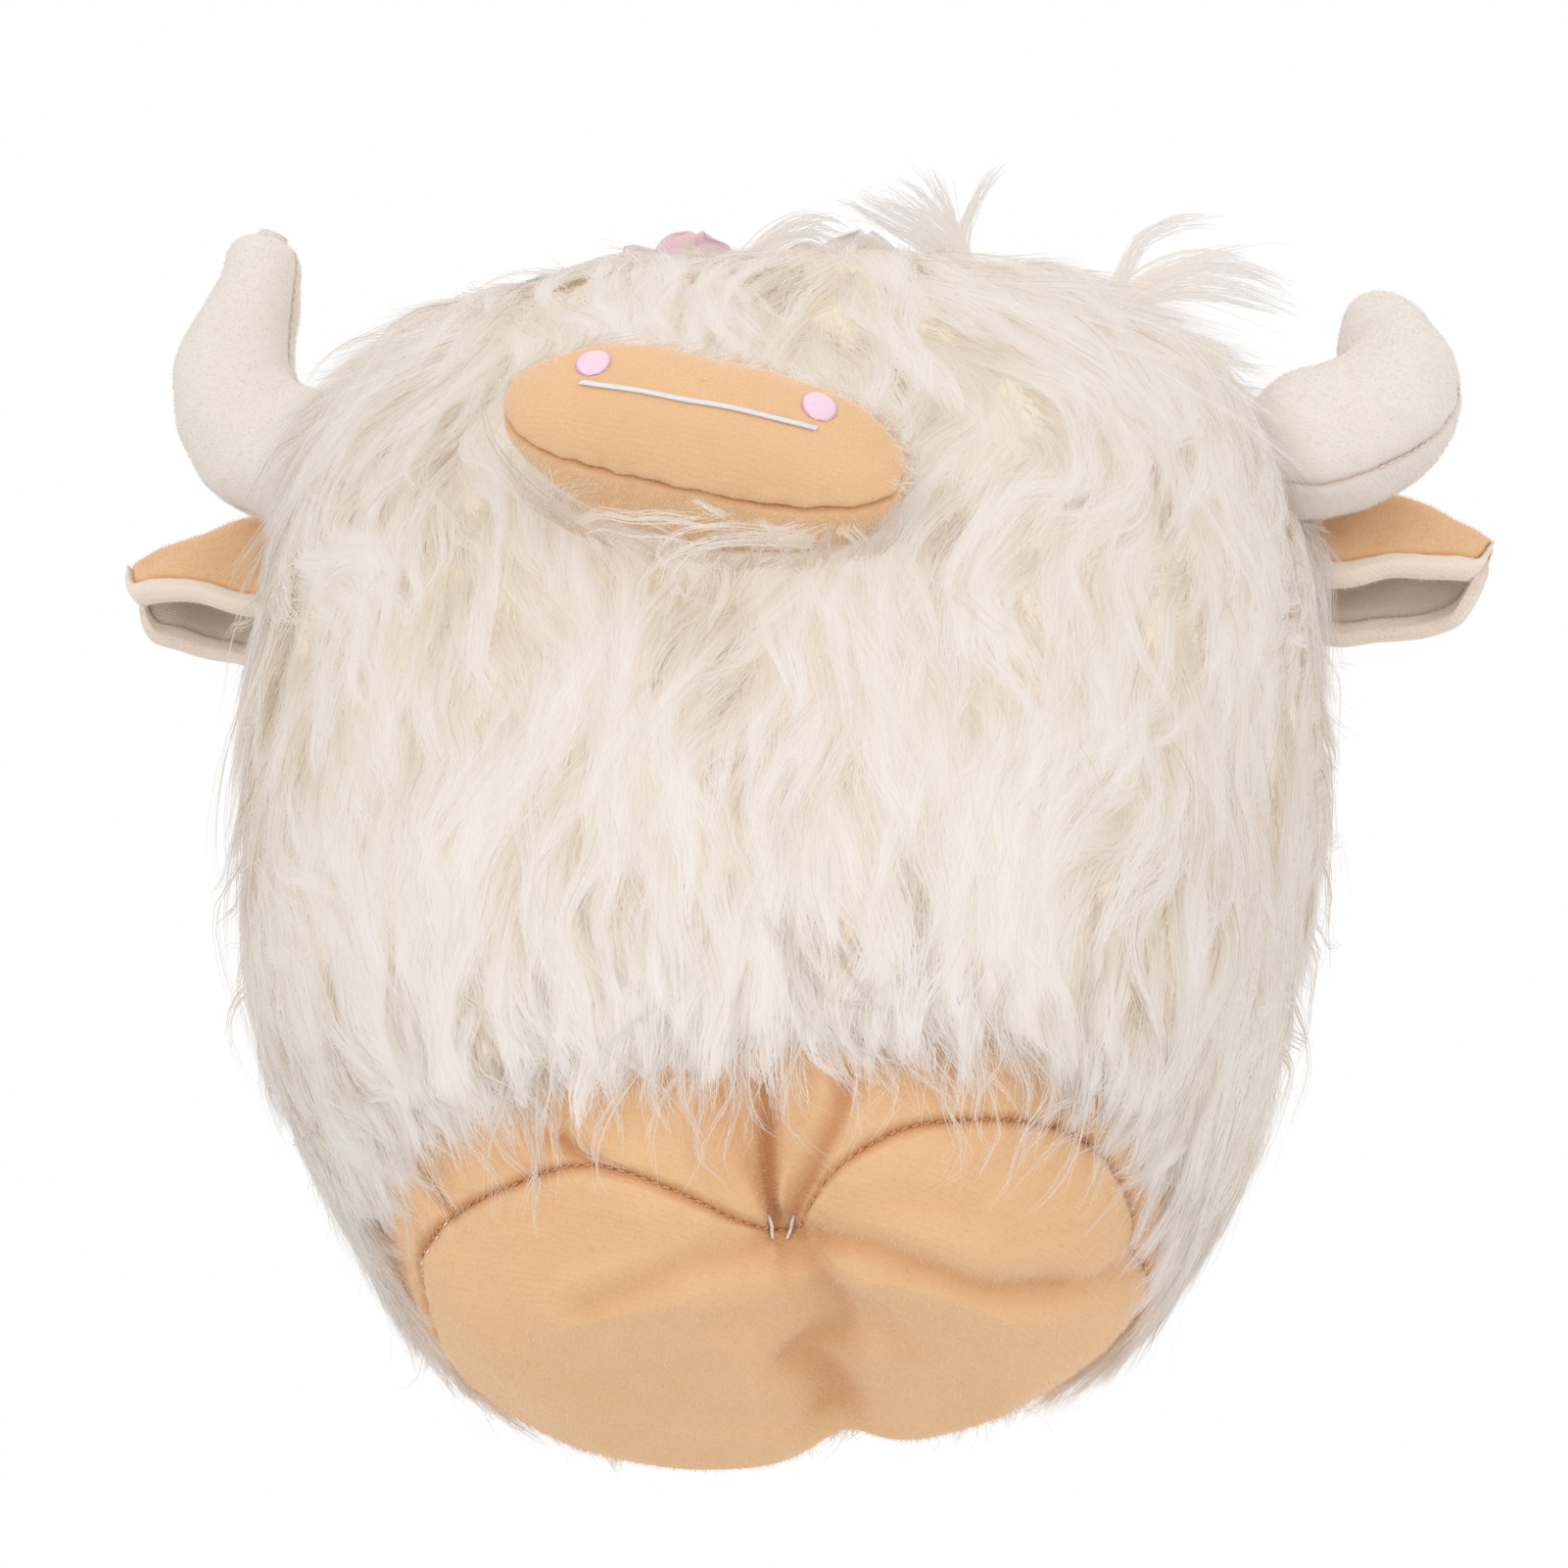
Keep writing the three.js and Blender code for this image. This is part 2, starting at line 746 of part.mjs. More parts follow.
// The room that an ear sweeps as it swings, as a prism through the pile
function earPocket(side, earLength) {
  const reach = pileHeight + cutOverrun + earStandOff;
  const upper = [];
  for (let row = 0; row <= earRows; row += 1) {
    const along = earLength * (row / earRows);
    const { halfHeight } = earSection(row / earRows);
    if (along < reach) {
      const corner = new THREE.Vector2(along, halfHeight + clothOuter() + cutClearance);
      upper.push(corner.rotateAround(new THREE.Vector2(), degrees(earSwing)));
    }
  }
  const lastCorner = upper[upper.length - 1];
  upper.push(new THREE.Vector2(reach, lastCorner.y));
  const root = new THREE.Vector2(upper[0].x - clothOuter(), upper[0].y);
  const outline = [...upper].reverse();
  outline.push(root);
  outline.push(...[root, ...upper].map((corner) => new THREE.Vector2(corner.x, -corner.y)));
  const shape = new THREE.Shape(outline.map((corner) => (
    new THREE.Vector2(side * corner.x, corner.y)
  )));
  const splay = 2 * earHalfHeight * earSplayShare;
  const halfDepth = earFoldRadius + splay + clothOuter() + cutClearance;
  const block = new THREE.ExtrudeGeometry(shape, { depth: 2 * halfDepth, bevelEnabled: false });
  block.translate(0, 0, -halfDepth);
  block.rotateX(Math.PI / 2);
  return block;
}

const coatCuts = [];
const sides = [
  {
    side: -1,
    name: 'left',
    column: backSeamColumn,
    hornSeatShare: leftHornSeatShare,
    hornSeatForward: leftHornSeatForward,
    hornStandOff: leftHornStandOff,
    hornLean: leftHornLeanAngle,
    earLength: leftEarLength,
    earSeatBack: leftEarSeatBack,
    earSweep: leftEarSweepAngle,
  },
  {
    side: 1,
    name: 'right',
    column: 0,
    hornSeatShare: rightHornSeatShare,
    hornSeatForward: rightHornSeatForward,
    hornStandOff: rightHornStandOff,
    hornLean: rightHornLeanAngle,
    earLength: rightEarLength,
    earSeatBack: rightEarSeatBack,
    earSweep: rightEarSweepAngle,
  },
];

for (const {
  side, name, column, hornSeatShare, hornSeatForward, hornStandOff, hornLean, earLength, earSeatBack, earSweep,
} of sides) {
  const pocketRadius = hornBaseRadius + clothOuter() + cutClearance;
  const hornSeat = seatOnBody(column, hornSeatShare, pocketRadius + hornStandOff);
  const horn = new THREE.Group();
  horn.position.copy(hornSeat.point);
  horn.position.y -= hornSeatForward;
  horn.rotation.set(degrees(hornLean), hornSeat.tilt, 0, 'YXZ');
  group.add(horn);
  const hornNet = makeHornNet(side);
  const halfTurn = hornColumns / 2;
  addPiece(horn, `horn_${name}_filling`, core(hornNet), fillingFinish());
  addPiece(horn, `horn_${name}_back_panel`, panel(hornNet, {
    columns: [0, halfTurn],
    inner: clothInner,
    outer: clothOuter,
  }), hornFinish());
  addPiece(horn, `horn_${name}_front_panel`, panel(hornNet, {
    columns: [halfTurn, hornColumns],
    inner: clothInner,
    outer: clothOuter,
  }), hornFinish());
  horn.updateMatrixWorld(true);
  const ball = new THREE.SphereGeometry(pocketRadius, pocketColumns, pocketRows);
  coatCuts.push(solidOf(ball, horn.matrixWorld));

  const earSeat = seatOnBody(column, earSeatShare, earStandOff + clothOuter());
  const ear = new THREE.Group();
  ear.position.copy(earSeat.point);
  ear.position.y += earSeatBack;
  ear.rotation.set(0, earSeat.tilt + degrees(side * earDroop), degrees(side * earSweep), 'ZYX');
  group.add(ear);
  const earNet = makeEarNet(side, earLength);
  addPiece(ear, `ear_${name}_outer`, panel(earNet, {
    inner: () => seamGap / 2,
    outer: () => seamGap / 2 + clothThickness,
  }), tanFinish());
  addPiece(ear, `ear_${name}_lining`, panel(earNet, {
    inner: () => -seamGap / 2 - clothThickness,
    outer: () => -seamGap / 2,
  }), liningFinish());
  ear.updateMatrixWorld(true);
  coatCuts.push(solidOf(earPocket(side, earLength), ear.matrixWorld));
}

// Satin flowers and leaves, sewn in a row over the front of the crown
function standOnCoat(turnShare, coatShare, name, geometry, material) {
  const standOff = fillingClearance + pileHeight + garlandClearance;
  const { point, normal } = bodyNet.at(
    frontColumn + turnShare * bodyColumns,
    hemRow + coatShare * coatRows,
  );
  geometry.computeBoundingBox();
  geometry.translate(0, 0, -geometry.boundingBox.min.z);
  const mesh = addPiece(group, name, geometry, material);
  mesh.position.copy(point).addScaledVector(normal, standOff);
  mesh.quaternion.setFromUnitVectors(new THREE.Vector3(0, 0, 1), normal);
}

function flowerGeometry() {
  const heart = new THREE.SphereGeometry(flowerHeartRadius, petalColumns, petalRows);
  const petal = new THREE.SphereGeometry(1, petalColumns, petalRows);
  petal.scale(petalLength / 2, petalWidth / 2, petalThickness / 2);
  petal.translate(petalLength / 2 + flowerHeartRadius / 2, 0, 0);
  petal.rotateY(-degrees(petalLift));
  let flower = solidOf(heart);
  for (let number = 0; number < petalCount; number += 1) {
    const turn = new THREE.Matrix4().makeRotationZ((2 * Math.PI * number) / petalCount);
    flower = flower.add(solidOf(petal, turn));
  }
  return geometryOf(flower);
}

function leafGeometry() {
  const leaf = new THREE.SphereGeometry(1, petalColumns, petalRows);
  leaf.scale(leafLength / 2, leafWidth / 2, leafThickness / 2);
  leaf.rotateZ(Math.PI / 2);
  return geometryOf(solidOf(leaf));
}

for (const [name, turnShare, coatShare, material] of garlandShares) {
  const geometry = name.startsWith('leaf') ? leafGeometry() : flowerGeometry();
  standOnCoat(turnShare, coatShare, name, geometry, material());
}

// Coat panels, parted round the muzzle, the horns and the ears
muzzle.updateMatrixWorld(true);
const muzzlePocket = solidOf(core(muzzleNet, clothOuter() + cutClearance), muzzle.matrixWorld);
for (const [name, columns] of [
  ['coat_back_panel', [0, backSeamColumn]],
  ['coat_front_panel', [backSeamColumn, bodyColumns]],
]) {
  const cloth = panel(bodyNet, {
    columns,
    rows: [hemRow, bodyRows],
    inner: clothInner,
    outer: pileAt,
  });
  const cuts = [...coatCuts, muzzlePocket];
  const solid = cuts.reduce((left, cut) => left.subtract(cut), solidOf(cloth));
  addPiece(group, name, geometryOf(solid), furFinish());
}

// The origin is the middle of the footprint of the whole toy, at the height that it stands on
const box = new THREE.Box3().setFromObject(group, true);
const middle = box.getCenter(new THREE.Vector3());
group.position.set(-middle.x, -middle.y, -box.min.z);

export default group;
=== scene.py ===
"""A stuffed highland cow: long-pile coat, tan knit base, pillow muzzle, horns, folded ears and satin flowers."""

import json
import logging
import math
from collections.abc import Callable, Sequence
from dataclasses import dataclass, field
from enum import Enum

import bpy
import numpy as np
from mathutils import Matrix, Vector
from mathutils.bvhtree import BVHTree
from mathutils.kdtree import KDTree


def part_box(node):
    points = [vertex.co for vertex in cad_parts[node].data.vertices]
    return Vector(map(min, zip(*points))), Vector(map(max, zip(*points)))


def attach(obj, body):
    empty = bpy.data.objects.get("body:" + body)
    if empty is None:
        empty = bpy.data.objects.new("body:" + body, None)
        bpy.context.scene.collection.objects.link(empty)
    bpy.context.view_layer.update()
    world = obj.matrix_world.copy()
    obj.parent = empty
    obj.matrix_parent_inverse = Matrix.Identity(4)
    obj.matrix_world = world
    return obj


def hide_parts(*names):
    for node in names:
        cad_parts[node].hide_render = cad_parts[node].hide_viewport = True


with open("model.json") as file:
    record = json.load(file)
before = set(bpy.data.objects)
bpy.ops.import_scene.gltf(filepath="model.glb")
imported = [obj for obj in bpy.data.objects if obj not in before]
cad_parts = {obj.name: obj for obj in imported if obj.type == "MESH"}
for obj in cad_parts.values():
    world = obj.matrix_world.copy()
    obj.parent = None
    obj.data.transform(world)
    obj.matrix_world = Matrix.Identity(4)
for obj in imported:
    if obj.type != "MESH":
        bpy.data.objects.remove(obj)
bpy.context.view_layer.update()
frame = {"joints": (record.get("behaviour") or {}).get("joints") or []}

Array = np.ndarray
Colour = tuple[float, float, float]
Pixels = tuple[tuple[float, float], ...]
Guide = dict[str, Array]

log = logging.getLogger("plush")
TINY = 1e-9
FULL_TURN = 2 * math.pi


class Side(Enum):
    """Which side of the toy a horn or an ear is sewn to; the value is the sign of X."""

    LEFT = -1
    RIGHT = 1

    @property
    def word(self) -> str:
        """The side's name in node and piece names."""
        return self.name.lower()


class Half(Enum):
    """Which of a form's two sewn panels is meant."""

    FRONT = "front"
    BACK = "back"


def unit(vectors: Array) -> Array:
    """Scales vectors to length one.

    Args:
        vectors: Vectors along the last axis.

    Returns:
        The same directions with length one.
    """
    return vectors / np.maximum(np.linalg.norm(vectors, axis=-1, keepdims=True), TINY)


def bell(distance: Array, half_width: float) -> Array:
    """A smooth bump of height one.

    Args:
        distance: How far each place is from the middle of the bump.
        half_width: The distance at which it has fallen to about a third.

    Returns:
        The bump's height at each place.
    """
    return np.exp(-((np.asarray(distance) / half_width) ** 2))


def ease(value: Array, low: float, high: float) -> Array:
    """A smooth step.

    Args:
        value: What the step is read at.
        low: Where it starts to rise from zero.
        high: Where it reaches one.

    Returns:
        The step's height at each value.
    """
    share = np.clip((np.asarray(value, float) - low) / (high - low), 0.0, 1.0)
    return share * share * (3 - 2 * share)


def mix(first: Array, second: Array, share: Array) -> Array:
    """Blends two values, the second taking the given share."""
    return first * (1 - share) + second * share


def linear(red: float, green: float, blue: float) -> Colour:
    """Turns a display colour into the linear one that shaders use.

    Args:
        red: Red from 0 to 255.
        green: Green from 0 to 255.
        blue: Blue from 0 to 255.

    Returns:
        The colour in linear light.
    """
    shares = (channel / 255 for channel in (red, green, blue))
    return tuple(s / 12.92 if s <= 0.04045 else ((s + 0.055) / 1.055) ** 2.4 for s in shares)


def turned(axis: str, angle: float) -> Array:
    """A rotation about one axis as a 3 by 3 array."""
    return np.array(Matrix.Rotation(angle, 3, axis))


def through(table: Sequence[Sequence[float]], share: Array) -> Array:
    """Reads a smooth curve through a given table.

    Args:
        table: Rows whose first column is the share that they are read at.
        share: Where the curve is read.

    Returns:
        The other columns at each share, along a last axis.
    """
    rows = np.asarray(table, float)
    places, values = rows[:, 0], rows[:, 1:]
    slopes = np.gradient(values, places, axis=0)
    share = np.clip(np.asarray(share, float), places[0], places[-1])
    low = np.clip(np.searchsorted(places, share, side="right") - 1, 0, len(places) - 2)
    span = places[low + 1] - places[low]
    t = ((share - places[low]) / span)[..., None]
    span = span[..., None]
    start, end = values[low], values[low + 1]
    return (
        (2 * t**3 - 3 * t**2 + 1) * start
        + (t**3 - 2 * t**2 + t) * span * slopes[low]
        + (3 * t**2 - 2 * t**3) * end
        + (t**3 - t**2) * span * slopes[low + 1]
    )


@dataclass
class Ripple:
    """A smooth random field over space, of about unit size, made of seeded waves."""

    seed: int
    wavelength: float
    waves: int = 20
    vectors: Array = field(init=False)
    phases: Array = field(init=False)

    def __post_init__(self) -> None:
        """Draws the waves once, so that every reading agrees."""
        rng = np.random.default_rng(self.seed)
        pitch = FULL_TURN / self.wavelength * rng.uniform(0.6, 1.5, (self.waves, 1))
        self.vectors = unit(rng.normal(size=(self.waves, 3))) * pitch
        self.phases = rng.uniform(0, FULL_TURN, self.waves)

    def at(self, points: Array) -> Array:
        """Reads the field.

        Args:
            points: Places along the last axis, in metres.

        Returns:
            One value for each place.
        """
        return np.sin(points @ self.vectors.T + self.phases).sum(-1) * math.sqrt(1 / self.waves)


def grid_faces(columns: int, rows: int, wrap: bool) -> Array:
    """Quads over a grid of points stored row by row.

    Args:
        columns: How many squares a row has.
        rows: How many rows of squares there are.
        wrap: Whether the last column joins the first.

    Returns:
        Four point numbers for each square.
    """
    width = columns if wrap else columns + 1
    row, column = np.meshgrid(np.arange(rows), np.arange(columns), indexing="ij")
    here = row * width + column
    beside = row * width + (column + 1) % width
    return np.stack([here, beside, beside + width, here + width], -1).reshape(-1, 4)


@dataclass
class Skin:
    """Points and faces of one piece while it is being made."""

    points: Array
    faces: Array
    # Painted shade on each point, from 0 to 1, if any.
    shade: Array | None = None

    def joined(self, other: "Skin") -> "Skin":
        """Puts another skin's points and faces after this one's.

        Args:
            other: The skin that is added.

        Returns:
            Both as one skin.
        """
        shade = None
        if self.shade is not None and other.shade is not None:
            shade = np.concatenate([self.shade, other.shade])
        return Skin(
            np.concatenate([self.points, other.points]),
            np.concatenate([self.faces, other.faces + len(self.points)]),
            shade,
        )

    def piece(self, name: str, finish: "Finish") -> bpy.types.Object:
        """Makes the Blender object.

        Args:
            name: The piece's name.
            finish: What it is dressed in.

        Returns:
            The new object, in place.
        """
        mesh = bpy.data.meshes.new(name)
        sides = self.faces.shape[1]
        mesh.vertices.add(len(self.points))
        mesh.vertices.foreach_set("co", self.points.astype(np.float32).ravel())
        mesh.loops.add(self.faces.size)
        mesh.loops.foreach_set("vertex_index", self.faces.astype(np.int32).ravel())
        mesh.polygons.add(len(self.faces))
        mesh.polygons.foreach_set("loop_start", np.arange(0, self.faces.size, sides, dtype=np.int32))
        mesh.polygons.foreach_set("use_smooth", np.ones(len(self.faces), bool))
        if self.shade is not None:
            layer = mesh.attributes.new("Shade", "FLOAT", "POINT")
            layer.data.foreach_set("value", self.shade.astype(np.float32))
        mesh.update(calc_edges=True)
        mesh.validate()
        piece = bpy.data.objects.new(name, mesh)
        bpy.context.scene.collection.objects.link(piece)
        mesh.materials.append(finish.material())
        return piece


def shell(outer: Array, inner: Array, wrap: bool, shade: Array | None = None) -> Skin:
    """A closed sheet of cloth between an outer and an inner grid of points.

    Args:
        outer: Points of the face side, rows by columns.
        inner: Points of the back, rows by columns.
        wrap: Whether the columns close on themselves.
        shade: How much painted shade darkens the face at each point, from 0 to 1.

    Returns:
        The sheet with its edges closed.
    """
    rows, width = outer.shape[:2]
    columns = width if wrap else width - 1
    points = np.concatenate([outer.reshape(-1, 3), inner.reshape(-1, 3)])
    face = grid_faces(columns, rows - 1, wrap)
    back = face[:, ::-1] + rows * width
    edges = []
    for row, flip in ((0, False), (rows - 1, True)):
        near = row * width + np.arange(columns)
        far = row * width + (np.arange(columns) + 1) % width
        edge = np.stack([far, near, near + rows * width, far + rows * width], -1)
        edges.append(edge if not flip else edge[:, ::-1])
    if not wrap:
        for column, flip in ((0, True), (width - 1, False)):
            near = np.arange(rows - 1) * width + column
            far = near + width
            edge = np.stack([far, near, near + rows * width, far + rows * width], -1)
            edges.append(edge if not flip else edge[:, ::-1])
    all_shade = None if shade is None else np.concatenate([shade.ravel(), shade.ravel()])
    faces = np.concatenate([face, back, *edges])
    corner = points[faces] - points.mean(0)
    volume = (np.cross(corner[:, 2] - corner[:, 0], corner[:, 3] - corner[:, 1]) * corner.mean(1)).sum()
    return Skin(points, faces if volume > 0 else faces[:, ::-1], all_shade)


def capsule(sides: int = 6, rings: int = 4) -> tuple[Array, Array]:
    """A stitch's unit shape: a rod along X from -0.5 to 0.5 with round ends and radius one.

    Args:
        sides: How many sides it has.
        rings: How many rings it has from end to end.

    Returns:
        Its points, and its faces of four corners.
    """
    along = np.linspace(-1, 1, rings + 1)
    radius = np.sqrt(np.maximum(0.02, 1 - np.abs(along) ** 3))
    angle = np.arange(sides) * FULL_TURN / sides
    points = np.stack([
        np.repeat(along * 0.5, sides),
        (radius[:, None] * np.cos(angle)).ravel(),
        (radius[:, None] * np.sin(angle)).ravel(),
    ], -1)
    faces = grid_faces(sides, rings, True)
    caps = [[0, 3, 2, 1], [0, 5, 4, 3]]
    last = rings * sides
    caps += [[last + 0, last + 1, last + 2, last + 3], [last + 0, last + 3, last + 4, last + 5]]
    return points, np.concatenate([faces, np.array(caps)])


def spaced(path: Array, pitch: float) -> tuple[Array, Array]:
    """Places at an even spacing along a path.

    Args:
        path: The path's points.
        pitch: The distance between two places.

    Returns:
        The places, and the path's direction at each.
    """
    steps = np.linalg.norm(np.diff(path, axis=0), axis=1)
    reach = np.concatenate([[0], np.cumsum(steps)])
    count = max(1, int(reach[-1] / pitch))
    at = (np.arange(count) + 0.5) * reach[-1] / count
    places = np.stack([np.interp(at, reach, path[:, axis]) for axis in range(3)], -1)
    ahead = np.stack([np.interp(at + pitch / 2, reach, path[:, axis]) for axis in range(3)], -1)
    behind = np.stack([np.interp(at - pitch / 2, reach, path[:, axis]) for axis in range(3)], -1)
    return places, unit(ahead - behind)


@dataclass(frozen=True)
class StitchRow:
    """A row of running stitches along a seam."""

    pitch: float = 0.0025
    length: float = 0.0019
    radius: float = 0.00027
    proud: float = 0.0001
    slant: float = 0.0

    def skin(self, path: Array, normals: Array) -> Skin:
        """Lays the stitches.

        Args:
            path: The seam's points, on the cloth.
            normals: The cloth's outward direction at those points.

        Returns:
            All stitches as one skin.
        """
        places, along = spaced(path, self.pitch)
        nearest = np.argmin(np.linalg.norm(places[:, None] - path[None], axis=2), axis=1)
        up = unit(normals[nearest] - (normals[nearest] * along).sum(-1, keepdims=True) * along)
        across = np.cross(up, along)
        along = unit(along + across * self.slant)
        across = np.cross(up, along)
        points, faces = capsule()
        laid = (
            places[:, None]
            + up[:, None] * self.proud
            + along[:, None] * (points[None, :, :1] * self.length)
            + across[:, None] * (points[None, :, 1:2] * self.radius)
            + up[:, None] * (points[None, :, 2:] * self.radius)
        )
        shifts = (np.arange(len(places)) * len(points))[:, None, None]
        return Skin(laid.reshape(-1, 3), (faces[None] + shifts).reshape(-1, 4))


@dataclass(frozen=True)
class Fuzz:
    """The short loose fibres that stand on brushed cloth."""

    seed: int
    length: float = 0.0013
    width: float = 0.00011
    lean: float = 0.9

    def skin(self, skin_points: Array, faces: Array, count: int) -> Skin:
        """Plants fibres over a cloth's face.

        Args:
            skin_points: The cloth's points.
            faces: The quads that the fibres grow on, facing outward.
            count: How many fibres there are.

        Returns:
            The fibres, one thin triangle each.
        """
        rng = np.random.default_rng(self.seed)
        corner = skin_points[faces]
        area_normal = np.cross(corner[:, 2] - corner[:, 0], corner[:, 3] - corner[:, 1])
        area = np.linalg.norm(area_normal, axis=1)
        chosen = rng.choice(len(faces), count, p=area / area.sum())
        u, v = rng.random((2, count, 1))
        quad = corner[chosen]
        root = mix(mix(quad[:, 0], quad[:, 1], u), mix(quad[:, 3], quad[:, 2], u), v)
        normal = unit(area_normal)[chosen]
        drift = rng.normal(size=(count, 3))
        drift -= (drift * normal).sum(-1, keepdims=True) * normal
        rise = unit(normal + unit(drift) * self.lean * rng.random((count, 1)))
        side = unit(np.cross(rise, normal) + TINY) * self.width / 2
        tip = root + rise * self.length * rng.uniform(0.4, 1.0, (count, 1))
        sunk = root - normal * self.width
        points = np.stack([sunk - side, sunk + side, tip], 1).reshape(-1, 3)
        return Skin(points, np.arange(3 * count).reshape(-1, 3))


class Finish:
    """A fabric or thread that pieces are dressed in; each is made once and shared."""

    made: dict[str, bpy.types.Material] = {}

    def material(self) -> bpy.types.Material:
        """The finish's material, made the first time that it is asked for."""
        if self.name not in Finish.made:
            Finish.made[self.name] = self.build(Nodes(self.name))
        return Finish.made[self.name]

    def build(self, nodes: "Nodes") -> bpy.types.Material:
        """Builds the material's nodes; each finish has its own."""
        raise NotImplementedError


class Nodes:
    """Builds one material's nodes."""

    def __init__(self, name: str) -> None:
        """Starts a material with one Principled shader.

        Args:
            name: The material's name.
        """
        self.material = bpy.data.materials.new(name)
        self.material.use_nodes = True
        self.tree = self.material.node_tree
        self.shader = self.tree.nodes["Principled BSDF"]

    def add(self, kind: str, **settings: object) -> bpy.types.Node:
        """Adds a node.

        Args:
            kind: The node's type name without its ShaderNode prefix.
            **settings: Properties to set on it.

        Returns:
            The node.
        """
        node = self.tree.nodes.new("ShaderNode" + kind)
        for key, value in settings.items():
            setattr(node, key, value)
        return node

    def feed(self, socket: bpy.types.NodeSocket, value: object) -> None:
        """Sets a socket to a number, or links it to another node's output."""
        if isinstance(value, bpy.types.NodeSocket):
            self.tree.links.new(value, socket)
        else:
            socket.default_value = value

    def place(self) -> bpy.types.NodeSocket:
        """The place on the piece, in metres, in its own space."""
        return self.add("TexCoord").outputs["Object"]

    def sum(self, kind: str, *values: object) -> bpy.types.NodeSocket:
        """A sum or other operation on numbers.

        Args:
            kind: The operation's name, such as ADD.
            *values: Numbers or sockets.

        Returns:
            The result's socket.
        """
        node = self.add("Math", operation=kind)
        for socket, value in zip(node.inputs, values):
            self.feed(socket, value)
        return node.outputs[0]

    def noise(self, size: float, detail: float = 2.0, place: object = None) -> bpy.types.NodeSocket:
        """A cloudy pattern.

        Args:
            size: The size of its blots, in metres.
            detail: How many finer layers it has.
            place: Where it is read, if not at the piece's own place.

        Returns:
            The pattern's value socket.
        """
        node = self.add("TexNoise")
        self.feed(node.inputs["Vector"], place or self.place())
        self.feed(node.inputs["Scale"], 1 / size)
        self.feed(node.inputs["Detail"], detail)
        return node.outputs["Fac"]

    def ribs(self, pitch: float, direction: Colour, waver: float) -> bpy.types.NodeSocket:
        """Fine knitted ribs.

        Args:
            pitch: The distance from rib to rib, in metres.
            direction: Which way the ribs follow each other.
            waver: How far they stray, in metres.

        Returns:
            A value that swings from -1 to 1.
        """
        across = self.add("VectorMath", operation="DOT_PRODUCT")
        self.feed(across.inputs[0], self.place())
        across.inputs[1].default_value = direction
        stray = self.sum("MULTIPLY", self.noise(0.012, 1.0), waver)
        turns = self.sum("MULTIPLY", self.sum("ADD", across.outputs["Value"], stray), FULL_TURN / pitch)
        return self.sum("SINE", turns)

    def attribute(self, name: str) -> bpy.types.NodeSocket:
        """A number stored on the piece's points."""
        return self.add("Attribute", attribute_name=name).outputs["Fac"]

    def ramp(self, value: object, *stops: tuple[float, Colour]) -> bpy.types.NodeSocket:
        """Turns a number into a colour.

        Args:
            value: The number's socket.
            *stops: Places from 0 to 1, each with its colour.

        Returns:
            The colour's socket.
        """
        node = self.add("ValToRGB")
        band = node.color_ramp
        while len(band.elements) < len(stops):
            band.elements.new(0.5)
        for element, (place, colour) in zip(band.elements, stops):
            element.position = place
            element.color = (*colour, 1)
        self.feed(node.inputs[0], value)
        return node.outputs["Color"]

    def blend(self, share: object, first: object, second: object, kind: str = "MIX") -> bpy.types.NodeSocket:
        """Mixes two colours.

        Args:
            share: How much of the second is taken.
            first: A colour or its socket.
            second: A colour or its socket.
            kind: How they mix.

        Returns:
            The mixed colour's socket.
        """
        node = self.add("Mix", data_type="RGBA", blend_type=kind)
        for socket, value in ((node.inputs[0], share), (node.inputs[6], first), (node.inputs[7], second)):
            self.feed(socket, (*value, 1) if isinstance(value, tuple) else value)
        return node.outputs[2]

    def bump(self, height: object, depth: float, strength: float = 1.0) -> None:
        """Gives the surface a fine relief.

        Args:
            height: The relief's socket.
            depth: How high it is, in metres, where the value is one.
            strength: How strongly it shows.
        """
        node = self.add("Bump")
        self.feed(node.inputs["Height"], height)
        node.inputs["Distance"].default_value = depth
        node.inputs["Strength"].default_value = strength
        self.feed(self.shader.inputs["Normal"], node.outputs[0])

    def set(self, **sockets: object) -> None:
        """Sets the shader's own sockets, whose names have underscores for spaces."""
        for name, value in sockets.items():
            self.feed(self.shader.inputs[name.replace("_", " ")], value)

    def see_through(self, colour: object, share: float) -> None:
        """Lets a share of the light pass through the surface.

        Args:
            colour: The surface's colour.
            share: How much of the light passes.
        """
        glow = self.add("BsdfTranslucent")
        self.feed(glow.inputs["Color"], colour)
        both = self.add("MixShader")
        both.inputs[0].default_value = share
        self.feed(both.inputs[1], self.shader.outputs[0])
        self.feed(both.inputs[2], glow.outputs[0])
        self.feed(self.tree.nodes["Material Output"].inputs["Surface"], both.outputs[0])

    def finish(self, colour: object) -> bpy.types.Material:
        """Sets the colour and hands the material over."""
        self.feed(self.shader.inputs["Base Color"], (*colour, 1) if isinstance(colour, tuple) else colour)
        return self.material


